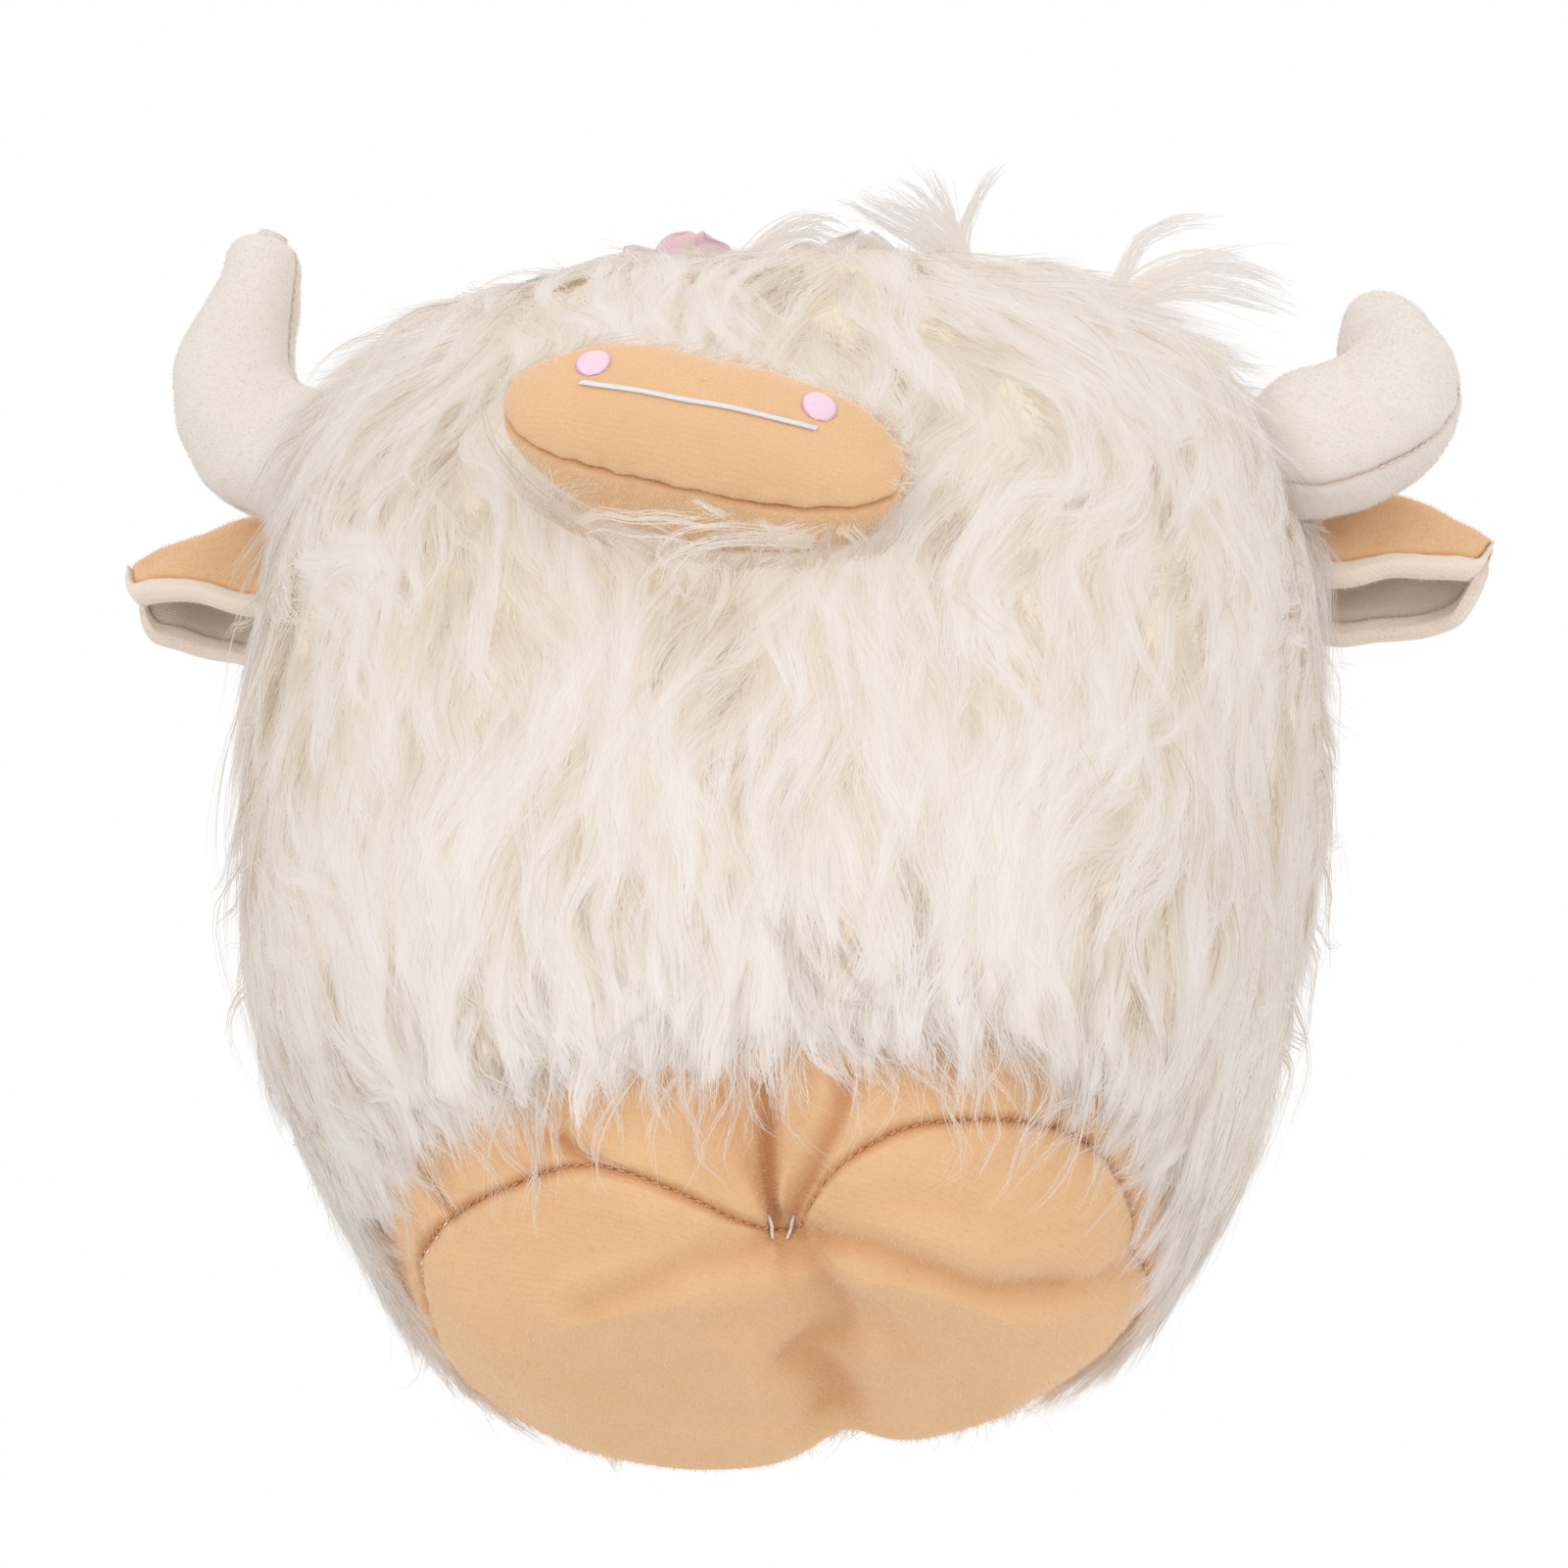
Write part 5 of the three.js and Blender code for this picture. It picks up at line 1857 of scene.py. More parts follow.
@dataclass
class Ear:
    """A leaf of two cloths folded down along its length, the lining rolled out round the rim."""

    side: Side
    form: BodyForm
    length_left: float = 0.065
    length_right: float = 0.056
    half_height: float = 0.020
    fold_radius: float = 0.0085
    droop: float = math.radians(3)
    splay_share: float = 0.12
    seat_share: float = 0.59
    sweep_left: float = math.radians(-2)
    sweep_right: float = math.radians(12)
    gap: float = 0.00025
    thickness: float = 0.0016
    roll_width: float = 0.0052
    roll_height: float = 0.0011
    tip_share: float = 0.90
    half_columns: int = 56
    rows: int = 96
    lump_height: float = 0.0007
    outline_shares: tuple[Colour, ...] = (
        (0, 0.27, 0.46), (0.1, 0.62, 0.62), (0.25, 0.95, 0.85), (0.38, 1, 1),
        (0.58, 0.80, 1), (0.8, 0.60, 0.9), (0.93, 0.48, 0.72), (1, 0.34, 0.5),
    )
    flat_width: float = 0.088
    flat_length: float = 0.064
    flat_fill: float = 0.70
    fuzz_count: int = 12000
    bare_root: float = 0.008

    def __post_init__(self) -> None:
        """Works out where the ear is sewn on and how it hangs."""
        form, side = self.form, self.side
        left = side is Side.LEFT
        share = mix(form.hem_share, 1.0, self.seat_share)
        seat = form.points(np.array([0.5 if left else 0.0]), np.array([share]))[0] - form.offset
        sweep = self.sweep_left if left else self.sweep_right
        self.length = self.length_left if left else self.length_right
        tilt = float(form.tilt_at(seat[2])) + side.value * self.droop
        self.rotation = turned("Z", side.value * sweep) @ turned("Y", tilt)
        self.origin = joint_place(f"ear_{side.word}_flap")

    def half_reach(self, along: Array) -> tuple[Array, Array, Array]:
        """The ear's section at a share of its length.

        Args:
            along: Shares of the length.

        Returns:
            The half height, the fold's radius and the distance over the cloth from ridge to rim.
        """
        shares = through(self.outline_shares, along)
        half_height = shares[..., 0] * self.half_height
        fold = shares[..., 1] * self.fold_radius
        reach = fold * math.pi / 2 + np.maximum(0, 2 * half_height - fold)
        into_tip = np.clip((along - self.tip_share) / (1 - self.tip_share), 0, 1)
        return half_height, fold, reach * np.sqrt(np.maximum(0.0004, 1 - into_tip**2))

    def sheet(self, along: Array, reach: Array) -> Array:
        """Places on the folded leaf between its two cloths, in the toy's frame.

        Args:
            along: Shares of the length.
            reach: Signed distances over the cloth from the ridge, negative in front.

        Returns:
            The places.
        """
        half_height, fold, _ = self.half_reach(along)
        size = np.abs(reach)
        round_length = fold * math.pi / 2
        turn = np.minimum(size, round_length) / fold
        down = np.maximum(0, size - round_length)
        wave = 0.0012 * np.sin(9 * along + 1.3 * np.sign(reach)) * ease(down, 0.0, 0.012)
        local = np.stack([
            self.side.value * self.length * along,
            np.sign(reach) * (fold * np.sin(turn) + down * self.splay_share) + wave,
            half_height - fold * (1 - np.cos(turn)) - down,
        ], -1)
        return local @ self.rotation.T + self.origin

    def outward(self, along: Array, reach: Array) -> Array:
        """Directions square to the leaf, away from the fold's inside."""
        step_along, step_reach = 0.004, 0.0004
        along = np.clip(along, step_along, 1 - step_along)
        one = self.sheet(along + step_along, reach) - self.sheet(along - step_along, reach)
        two = self.sheet(along, reach + step_reach) - self.sheet(along, reach - step_reach)
        return unit(np.cross(one, two)) * self.side.value

    def build(self) -> None:
        """Makes the tan outer cloth and the rolled lining."""
        body = f"ear_{self.side.word}"
        along = (np.linspace(0, 1, self.rows + 1) ** 0.9)[:, None]
        across = np.linspace(-1, 1, 2 * self.half_columns + 1)[None]
        line = np.sign(across) * (1 - (1 - np.abs(across)) ** 1.25)
        along, line = np.broadcast_arrays(along, line)
        full = self.half_reach(along)[2]
        roll = np.minimum(self.roll_width, 0.42 * full)
        lumps = Ripple(80 + self.side.value, 0.020)
        for name, slot, finish, nap, reach_end in (
            ("outer", "tan_knit", tan_knit, tan_nap, full - roll),
            ("lining", "ear_lining", ear_lining, lining_nap, full),
        ):
            reach = line * reach_end
            rim = reach_end - np.abs(reach)
            places = self.sheet(along, reach)
            normal = self.outward(along, reach)
            wobble = lumps.at(places) * self.lump_height
            round_edge = np.sqrt(np.clip(1 - (1 - np.clip(rim / 0.0016, 0, 1)) ** 2, 0.0025, 1))
            if name == "outer":
                middle = self.gap + self.thickness / 2
                half = self.thickness / 2 * round_edge
                outer_at, inner_at = middle + half - 0.0005 * bell(rim, 0.0018), middle - half
                # Painted shade: the outer cloth darkens along its edge, under the rolled lining.
                shade = 0.75 * bell(rim, 0.0011)
            else:
                rolled = ease(full - np.abs(reach), roll + 0.0004, roll - 0.0009)
                top = mix(-self.gap, self.gap + self.thickness + 0.6 * self.roll_height, rolled)
                bottom = -self.gap - self.thickness - self.roll_height * rolled
                middle, half = (top + bottom) / 2, (top - bottom) / 2 * round_edge
                outer_at, inner_at = middle + half, middle - half
                fold_depth = ease(self.fold_radius - np.abs(reach), -0.01, 0.01)
                # Painted shade: the lining darkens inside the fold and where the roll starts.
                shade = np.clip(0.55 * (1 - rolled) * fold_depth + 0.35 * bell(rim - roll, 0.0012), 0, 1)
            outer = places + normal * (outer_at + wobble)[..., None]
            inner = places + normal * (inner_at + wobble)[..., None]
            piece = shell(outer, inner, False, shade).piece(f"{body}_{name}_cloth", finish)
            settle(piece, body, slot, f"{body}_{name}")
            grown = outer if name == "outer" else inner
            faces = grid_faces(grown.shape[1] - 1, grown.shape[0] - 1, False)
            corner = grown.reshape(-1, 3)[faces]
            facing = np.cross(corner[:, 2] - corner[:, 0], corner[:, 3] - corner[:, 1])
            sign = 1 if name == "outer" else -1
            if sign * (facing * normal[:-1, :-1].reshape(-1, 3)).sum() < 0:
                faces = faces[:, ::-1]
            fuzz = Fuzz(seed=90 + 2 * self.side.value + (name == "outer"), length=0.0011)
            settle(
                fuzz.skin(grown.reshape(-1, 3), faces, self.fuzz_count).piece(f"{body}_{name}_nap", nap),
                body, slot,
            )

    def clear(self, points: Array, margin: float = 0.0025) -> Array:
        """Moves points that lie inside the ear out to its front or its back.

        Args:
            points: The toy's places.
            margin: How much room is left.

        Returns:
            The moved places.
        """
        local = (points - self.origin) @ self.rotation
        along = np.clip(self.side.value * local[..., 0] / self.length, 0, 1)
        half_height, fold, _ = self.half_reach(along)
        down = np.maximum(0, half_height - local[..., 2] - fold)
        room = fold + down * self.splay_share + self.gap + self.thickness + margin
        inside = (np.abs(local[..., 2]) < half_height + margin + self.thickness) & (np.abs(local[..., 1]) < room)
        inside &= (self.side.value * local[..., 0] > self.bare_root) & (along < 1)
        moved = local.copy()
        way = np.where(local[..., 1] < 0.002, -1.0, 1.0)
        moved[..., 1] = np.where(inside, way * room, local[..., 1])
        return moved @ self.rotation.T + self.origin


@dataclass(frozen=True)
class Tuft:
    """How the strands of a lock grow round its middle line."""

    spread: float
    strands: int
    width_share: float = 1.0
    clear: bool = True


@dataclass
class Coat:
    """The long-pile coat: a front and a back panel of woven backing, and pile that falls from the crown in locks."""

    body_map: BodyMap
    camera: PhotoCamera
    muzzle: Muzzle
    horns: list[Horn]
    ears: list[Ear]
    flowers: list[Array]
    flower_room: float = 0.0085
    backing_low: float = 0.0023
    underfur_hem: float = 0.0034
    underfur_full: float = 0.0098
    filling_out: float = 0.17
    lump_height: float = 0.0009
    grain_height: float = 0.0005
    crown_share: float = 0.9985
    pile_length: float = 0.050
    profile_length: float = 0.46
    lock_spacing: float = 0.0053
    lock_tries: int = 56000
    strands: int = 54
    strand_width: float = 0.00024
    strand_points: int = 8
    thin_share: float = 0.9
    tufts: int = 5
    short_strands: int = 60000
    short_length: float = 0.020
    short_points: int = 4
    guide_steps: int = 15
    tip_hem: float = 0.0062
    tip_full: float = 0.0158
    crown_flat: float = 0.34
    # The depth under the coat's top over which painted shade grows to its full darkness.
    depth_shown: float = 0.0075
    wave_height: float = 0.0017
    wave_length: float = 0.029
    stray_turn: float = 0.17
    stray_shift: float = 0.004
    outward_pull: float = 0.6
    front_overhang: tuple[float, float] = (0.004, 0.017)
    back_overhang: tuple[float, float] = (0.012, 0.032)
    flyaway_locks: int = 420
    hem_locks: int = 300
    fringe_locks: int = 120
    beard_locks: int = 64
    nest_locks: int = 90
    nest_low: float = 0.0085
    shoulder_locks: int = 820
    most_pushed: float = 0.007
    most_off: float = 0.026
    horn_room: float = 0.0012
    part_boost: float = 1.3
    pieces: int = 18
    seed: int = 7

    def __post_init__(self) -> None:
        """Starts the draws, and the fields that the pile strays by."""
        self.rng = np.random.default_rng(self.seed)
        self.slow, self.quick, self.fine = Ripple(11, 0.075), Ripple(12, 0.030), Ripple(14, 0.014)
        self.t = np.linspace(0, 1, self.guide_steps + 1)

    def fullness(self, share: Array) -> Array:
        """How full the coat is, from 0 at the hem to 1 over the body."""
        hem = self.body_map.form.hem_share
        return ease(share, hem, hem + self.filling_out)

    def underfur(self, share: Array) -> Array:
        """How far the dense underfur stands off the filling at a share of the profile."""
        return mix(self.underfur_hem, self.underfur_full, self.fullness(share))

    def backing(self) -> None:
        """Makes the two panels: woven backing with the dense underfur that closes over it."""
        form, gap, hem_round = self.body_map.form, 0.0002, 0.012
        rise = np.linspace(form.hem_share, self.crown_share, 150)[:, None]
        for half, first in ((Half.BACK, 0.0), (Half.FRONT, 0.5)):
            turn, share = np.broadcast_arrays(first + np.linspace(gap, 0.5 - gap, 241)[None], rise)
            even = form.points(turn, share)
            lumps = self.lump_height * self.quick.at(even)
            lumps = lumps + self.grain_height * Ripple(13, 0.007).at(even * np.array([1, 1, 0.25]))
            into = np.clip((share - form.hem_share) / hem_round, 0, 1)
            rounded = np.sqrt(np.clip(1 - (1 - into) ** 2, 0.04, 1))
            height = self.backing_low + (self.underfur(share) + lumps - self.backing_low) * rounded
            outer = self.parted_cloth(form.points(turn, share, height))
            inner = form.points(turn, share, self.backing_low)
            cloth = shell(outer, inner, False, 0 * share).piece(f"coat_{half.value}_underfur", coat_underfur)
            settle(cloth, "body", "long_pile", f"coat_{half.value}_panel")

    def parted_cloth(self, points: Array) -> Array:
        """Presses the underfur down round the horns and the ears.

        Args:
            points: The underfur's points.

        Returns:
            The pressed points.
        """
        for horn in self.horns:
            points = self.pressed(points, horn.origin, horn.base_radius + 0.002, horn.base_radius + 0.009)
        for ear in self.ears:
            points = self.pressed(points, ear.origin, 0.008, 0.016)
        return points

    def pressed(self, points: Array, middle: Array, near: float, far: float) -> Array:
        """Draws points toward the backing round a place.

        Args:
            points: The points.
            middle: The place.
            near: How far from it they lie right on the backing.
            far: How far from it they are left alone.

        Returns:
            The moved points.
        """
        flat = points.reshape(-1, 3).copy()
        press = 1 - ease(np.linalg.norm(flat - middle, axis=-1), near, far)
        held = np.flatnonzero(press > 0)
        place, normal, _ = self.body_map.snap(flat[held])
        low = place + normal * (self.backing_low + 0.0008)
        flat[held] = mix(flat[held], low, press[held, None])
        return flat.reshape(points.shape)

    def scattered(self, count: int) -> tuple[Array, Array, Array]:
        """Places over the whole coat, as many to each square centimetre.

        Args:
            count: How many places there are.

        Returns:
            The places, and their shares of a turn and of the profile.
        """
        form, columns, rows = self.body_map.form, self.body_map.columns, self.body_map.rows
        grid = self.body_map.points.reshape(rows + 1, columns, 3)
        first = int(form.hem_share * rows) + 1
        cell = grid[first:-1]
        wide = np.linalg.norm(np.roll(cell, -1, axis=1) - cell, axis=2)
        tall = np.linalg.norm(grid[first + 1:] - cell, axis=2)
        area = (wide * tall).ravel()
        row, column = np.divmod(self.rng.choice(len(area), count, p=area / area.sum()), columns)
        share = np.minimum((first + row + self.rng.random(count)) / rows, self.crown_share)
        turn = (column + self.rng.random(count)) / columns
        return form.points(turn, share), turn, share

    def plant(self) -> None:
        """Spreads the roots of the locks evenly over the backing."""
        points, turn, share = self.scattered(self.lock_tries)
        taken: dict[tuple[int, int, int], list[int]] = {}
        kept: list[int] = []
        keys = np.floor(points / self.lock_spacing).astype(int)
        for number in np.flatnonzero(~self.muzzle.covers(points, 0.55)):
            x, y, z = keys[number]
            near = [
                other
                for dx in (-1, 0, 1) for dy in (-1, 0, 1) for dz in (-1, 0, 1)
                for other in taken.get((x + dx, y + dy, z + dz), ())
            ]
            if near and np.min(np.linalg.norm(points[near] - points[number], axis=1)) < self.lock_spacing:
                continue
            taken.setdefault((x, y, z), []).append(number)
            kept.append(number)
        self.roots, self.turn, self.share = points[kept], turn[kept], share[kept]
        self.normals = self.body_map.form.normals(self.turn, self.share)

    def flow(self, points: Array, normals: Array, own: Array) -> Array:
        """Which way the pile lies at places on the body.

        Args:
            points: The places.
            normals: The outward directions there.
            own: Each lock's own turn away from its neighbours.

        Returns:
            Directions along the surface.
        """
        crown = self.body_map.form.points(np.array([0.0]), np.array([1.0]))[0]
        away = points - crown
        away[:, 2] = 0
        down = np.array([0.0, 0.0, -1.0]) + 0.35 * unit(away) * ease(normals[:, 2:], 0.3, 0.95)
        aside = away[:, 0] / self.body_map.form.half_width
        down[:, 0] += self.outward_pull * aside * ease(points[:, 2], 0.13, 0.25)
        swirl = own + 0.34 * self.slow.at(points) + 0.24 * self.quick.at(points) + 0.14 * self.fine.at(points)
        down = unit(down - (down * normals).sum(-1, keepdims=True) * normals)
        side = np.cross(normals, down)
        return unit(down * np.cos(swirl)[:, None] + side * np.sin(swirl)[:, None])

    def keep_clear(self, points: Array) -> Array:
        """Moves strand points out of the muzzle, the horns and the flowers.

        Args:
            points: The strands' points.

        Returns:
            The moved points.
        """
        points = self.muzzle.clear(points)
        balls = [(centre, radius + self.horn_room) for horn in self.horns for centre, radius in horn.spheres()]
        for centre, room in balls + [(middle, self.flower_room) for middle in self.flowers]:
            away = points - centre
            gap = np.linalg.norm(away, axis=-1, keepdims=True)
            points = np.where(gap < room, centre + away / np.maximum(gap, TINY) * room, points)
        return points

    def parted(self, points: Array) -> Array:
        """Bends the locks' middle lines smoothly round the muzzle, the horns and the ears.

        Args:
            points: The lines' points, lock by lock.

        Returns:
            The bent lines.
        """
        for _ in range(2):
            clear = self.keep_clear(points)
            for ear in self.ears:
                clear = ear.clear(clear)
            shift = clear - points
            for _ in range(5):
                shift = smoothed(shift)
            points = points + self.part_boost * shift
        return points

    def locks(self, chosen: Array, length: Array, low: Array, high: Array, loose: float = 1.0) -> Guide:
        """Traces the middle line of each lock down the body.

        Args:
            chosen: Which roots the locks grow from.
            length: Each lock's length.
            low: How high each lock leaves the underfur.
            high: How high each lock stands off at its tip.
            loose: How many times more freely than the coat they turn and wave.

        Returns:
            Points, outward, forward and sideways directions for each lock and step.
        """
        rng, roots, count = self.rng, self.roots[chosen], len(chosen)
        own = rng.normal(0, self.stray_turn * loose, count)
        shift = rng.normal(0, self.stray_shift, (count, 3))
        place, normal, share = self.body_map.snap(roots)
        track = []
        for _ in self.t:
            way = self.flow(place + shift, normal, own)
            track.append((place, normal, way, share))
            place, normal, share = self.body_map.snap(place + way * (length / self.guide_steps)[:, None])
        base, out, way, share = (np.stack(part, 1) for part in zip(*track))
        for _ in range(3):
            out = smoothed(out)
        out = unit(out)
        side = unit(np.cross(out, way))
        t = self.t[None]
        rise = mix(low[:, None], high[:, None], (1 - np.exp(-3.0 * t)) / (1 - math.exp(-3.0)))
        ceiling = mix(self.tip_hem, np.maximum(self.tip_full, high[:, None]), self.fullness(share))
        ceiling = ceiling * (1 - self.crown_flat * ease(out[..., 2], 0.40, 0.78))
        rise = smoothed(smoothed(np.minimum(rise, ceiling * rng.uniform(0.85, 1.10, (count, 1)))))
        # Painted shade: how deep below the coat's top each point lies, which later darkens its strands' colour.
        deep = np.clip((1.06 * ceiling - rise) / self.depth_shown, 0, 1)[..., None]
        flick = rng.normal(0, 0.0012, (count, 1)) * t**3
        pitch = FULL_TURN * length[:, None] / (self.wave_length * rng.uniform(0.75, 1.4, (count, 1)))
        phase = rng.uniform(0, FULL_TURN, (count, 1)) * 0.4 + 5 * self.slow.at(roots)[:, None]
        height = self.wave_height * loose * rng.uniform(0.35, 1.3, (count, 1)) * (0.25 + 0.75 * t)
        sway = height * (np.sin(pitch * t + phase) - np.sin(phase))
        nod = 0.35 * height * (np.cos(pitch * t + 1.7 * phase) - np.cos(1.7 * phase))
        points = base + out * (rise + flick + nod)[..., None] + side * sway[..., None]
        return {"points": self.parted(points), "out": out, "way": way, "side": side, "deep": deep}

    def grow(self, name: str, guide: Guide, tuft: Tuft, shades: bool = False, finish: Finish = long_pile) -> None:
        """Grows the strands of locks round their middle lines, as one piece.

        Args:
            name: The piece's name.
            guide: The locks' middle lines and directions.
            tuft: How many strands a lock has, and how they lie.
            shades: Whether they throw shade; most don't, as light passes through real ones.
            finish: What they are dressed in.
        """
        rng, spread, number = self.rng, tuft.spread, self.strand_points
        locks, steps = guide["points"].shape[:2]
        each = (locks, tuft.strands, 1)
        t = np.linspace(0, 1, number)[None, None] * rng.uniform(0.72, 1.06, each)
        at = np.clip(t, 0, 1) * (steps - 1)
        low = np.minimum(at.astype(int), steps - 2)
        part = (at - low)[..., None]
        lock = np.arange(locks)[:, None, None]
        read = {key: mix(value[lock, low], value[lock, low + 1], part) for key, value in guide.items()}
        which = rng.integers(0, self.tufts, each[:2])
        tuft_at = rng.normal(0, spread * 0.62, (locks, self.tufts, 2))
        own = rng.normal(0, spread * 0.42, (locks, tuft.strands, 2))
        in_tuft = tuft_at[np.arange(locks)[:, None], which]
        gather = (1 - 0.62 * ease(t, 0.25, 1.0))[..., None]
        close = (1 - 0.70 * ease(t, 0.2, 1.0))[..., None]
        offset = in_tuft[:, :, None] * gather + own[:, :, None] * close
        stray = (rng.random(each) < 0.07) * rng.normal(0, 0.0035, each)
        curl = 0.0006 * rng.normal(size=each)
        curl = curl * np.sin(FULL_TURN * t * rng.uniform(1.2, 2.6, each) + rng.uniform(0, FULL_TURN, each))
        sideways = offset[..., 0] + curl * t + stray * t**1.5
        upward = 0.42 * rng.normal(0, 0.0013, each) * (0.4 + t) + 0.5 * np.abs(stray) * t**2
        forward = offset[..., 1] * (1 - t)
        points = (
            read["points"] + read["side"] * sideways[..., None]
            + read["out"] * upward[..., None] + read["way"] * forward[..., None]
        )
        if tuft.clear:
            points = self.keep_clear(points)
        along = unit(np.gradient(points, axis=2))
        out = unit(read["out"] - (read["out"] * along).sum(-1, keepdims=True) * along)
        roll = rng.normal(0, 0.4, (*each, 1))
        across = np.cross(along, out) * np.cos(roll) + out * np.sin(roll)
        thick = self.strand_width * tuft.width_share * (1 - 0.86 * np.clip(t, 0, 1) ** 1.8) / 2
        edge = across * (thick * rng.uniform(0.7, 1.25, each))[..., None]
        corners = np.stack([points - edge, points + edge], 3)
        rounding = (offset[..., 0] / (1.6 * spread))[..., None]
        shading = unit(read["out"] + 0.22 * rounding * read["side"] + 0.05 * rng.normal(size=(*each, 3)))
        tint = 0.55 + 0.12 * rng.normal(size=(locks, 1, 1)) + 0.15 * rng.normal(size=each)
        # Painted shade: strands that lie deep take the darker root colours.
        deep = np.clip(read["deep"][..., 0] - upward / self.depth_shown, 0, 1) if "deep" in read else 0.0
        along_map = np.clip(t * (1 - 0.62 * deep), 0.01, 0.99)
        place = np.stack(np.broadcast_arrays(np.clip(tint, 0.02, 0.98), along_map), -1)
        parts = (corners, np.repeat(shading[:, :, :, None], 2, axis=3), self.map_places(place, 3))
        self.pile_piece(name, *(part.reshape(-1, number * 2, part.shape[-1]) for part in parts), shades, finish)

    def map_places(self, place: Array, axis: int) -> Array:
        """The map places of a strand's two edges, from those of its middle, stacked along an axis."""
        half = np.array([0.008, 0.0])
        return np.stack([place - half, place + half], axis)

    def pile_piece(
        self, name: str, corners: Array, shading: Array, places: Array, shades: bool, finish: Finish
    ) -> None:
        """Makes one piece of pile.

        Args:
            name: The piece's name.
            corners: Ribbon corners, strand by strand.
            shading: Shading directions for the corners.
            places: Map places for the corners.
            shades: Whether its strands throw shade.
            finish: What the strands are dressed in.
        """
        strands, each = corners.shape[:2]
        ribbon = np.array([[2 * n, 2 * n + 1, 2 * n + 3, 2 * n + 2] for n in range(each // 2 - 1)])
        faces = (ribbon[None] + (np.arange(strands) * each)[:, None, None]).reshape(-1, 4)
        piece = Skin(corners.reshape(-1, 3), faces).piece(name, finish)
        piece.visible_shadow = piece.visible_diffuse = shades
        layer = piece.data.uv_layers.new(name="OFBake")
        layer.data.foreach_set("uv", places.reshape(-1, 2)[faces.ravel()].astype(np.float32).ravel())
        piece.data.normals_split_custom_set_from_vertices(shading.reshape(-1, 3).tolist())
        settle(piece, "body", "long_pile")

    def build(self) -> None:
        """Makes the backing and all the pile."""
        self.backing()
        self.plant()
        share, count = self.share, len(self.share)
        reach = (share - self.body_map.form.hem_share) * self.profile_length
        behind = ease(np.sin(self.turn * FULL_TURN), -0.45, 0.1)
        least, most = (mix(*pair, behind) for pair in zip(self.front_overhang, self.back_overhang))
        overhang = mix(least, most, self.rng.random(count) ** 1.5)
        length = np.minimum(self.pile_length * self.rng.uniform(0.8, 1.12, count), reach + overhang)
        low = self.underfur(share) - 0.0012
        high = mix(self.tip_hem, self.tip_full, self.fullness(share))
        high = high - 0.0045 * self.rng.random(count) ** 1.5 + 0.0009 * self.quick.at(self.roots)
        high = np.maximum(low + 0.0012, high)
        log.info("coat: %d locks", count)
        tuft = Tuft(self.lock_spacing * 0.62, self.strands)
        for number in range(self.pieces):
            chosen = np.arange(number, count, self.pieces)
            guide = self.locks(chosen, length[chosen], low[chosen], high[chosen])
            self.grow(f"pile_{number + 1}", guide, tuft)
        self.short_pile()
        self.flyaways()
        self.hem_wisps()
        self.shoulders()
        self.nests()
        self.fringe()
        self.beard()
        self.muzzle_wisps()
        self.crown_wisps()

    def line_guide(self, points: Array, out: Array) -> Guide:
        """The directions that strands need along loose middle lines.

        Args:
            points: Points of each line.
            out: The outward directions, or one for all.

        Returns:
            The lines with their forward, sideways and outward directions.
        """
        way = unit(np.gradient(points, axis=1))
        out = np.broadcast_to(out, way.shape)
        return {"points": points, "way": way, "side": unit(np.cross(out, way)), "out": out}

    def shoulders(self) -> None:
        """Lets long fur spring straight off the upper slopes, over the roots of the horns."""
        rng, normals = self.rng, self.normals
        away = self.roots[:, 0] - self.body_map.form.offset[0]
        slope = (np.abs(away) > 0.030) & (normals[:, 2] > 0.28) & (normals[:, 2] < 0.93) & (self.share > 0.4)
        chosen = rng.choice(np.flatnonzero(slope), self.shoulder_locks)
        count = len(chosen)
        root, normal = self.roots[chosen], normals[chosen]
        aim = np.stack([np.sign(away[chosen]), 0.35 * normal[:, 1], rng.uniform(-0.35, 0.2, count)], -1)
        aim = unit(aim + rng.normal(0, 0.16, (count, 3)))
        way = unit(aim - 0.93 * (aim * normal).sum(-1, keepdims=True) * normal)
        t, each = self.t[None, :, None], (count, 1, 1)
        length = self.pile_length * rng.uniform(0.66, 1.2, each)
        droop = np.array([0, 0, -1]) * length * rng.uniform(0.04, 0.30, each) * t**2
        side = np.cross(normal, way)[:, None]
        bend = rng.normal(0, 0.0016, each) * np.sin(5 * t + rng.uniform(0, FULL_TURN, each)) * t
        lift = (self.underfur(self.share[chosen])[:, None, None] + 0.001) * (0.8 + 0.2 * t)
        points = root[:, None] + normal[:, None] * lift + way[:, None] * length * t + droop + side * bend
        moved = self.parted(points)
        below, _, _ = self.body_map.snap(moved[:, -1])
        calm = np.linalg.norm(moved - points, axis=-1).max(1) < self.most_pushed
        calm &= np.linalg.norm(moved[:, -1] - below, axis=1) < self.most_off
        self.grow("shoulder_pile", self.line_guide(moved[calm], normal[calm][:, None]), Tuft(0.0022, 18))

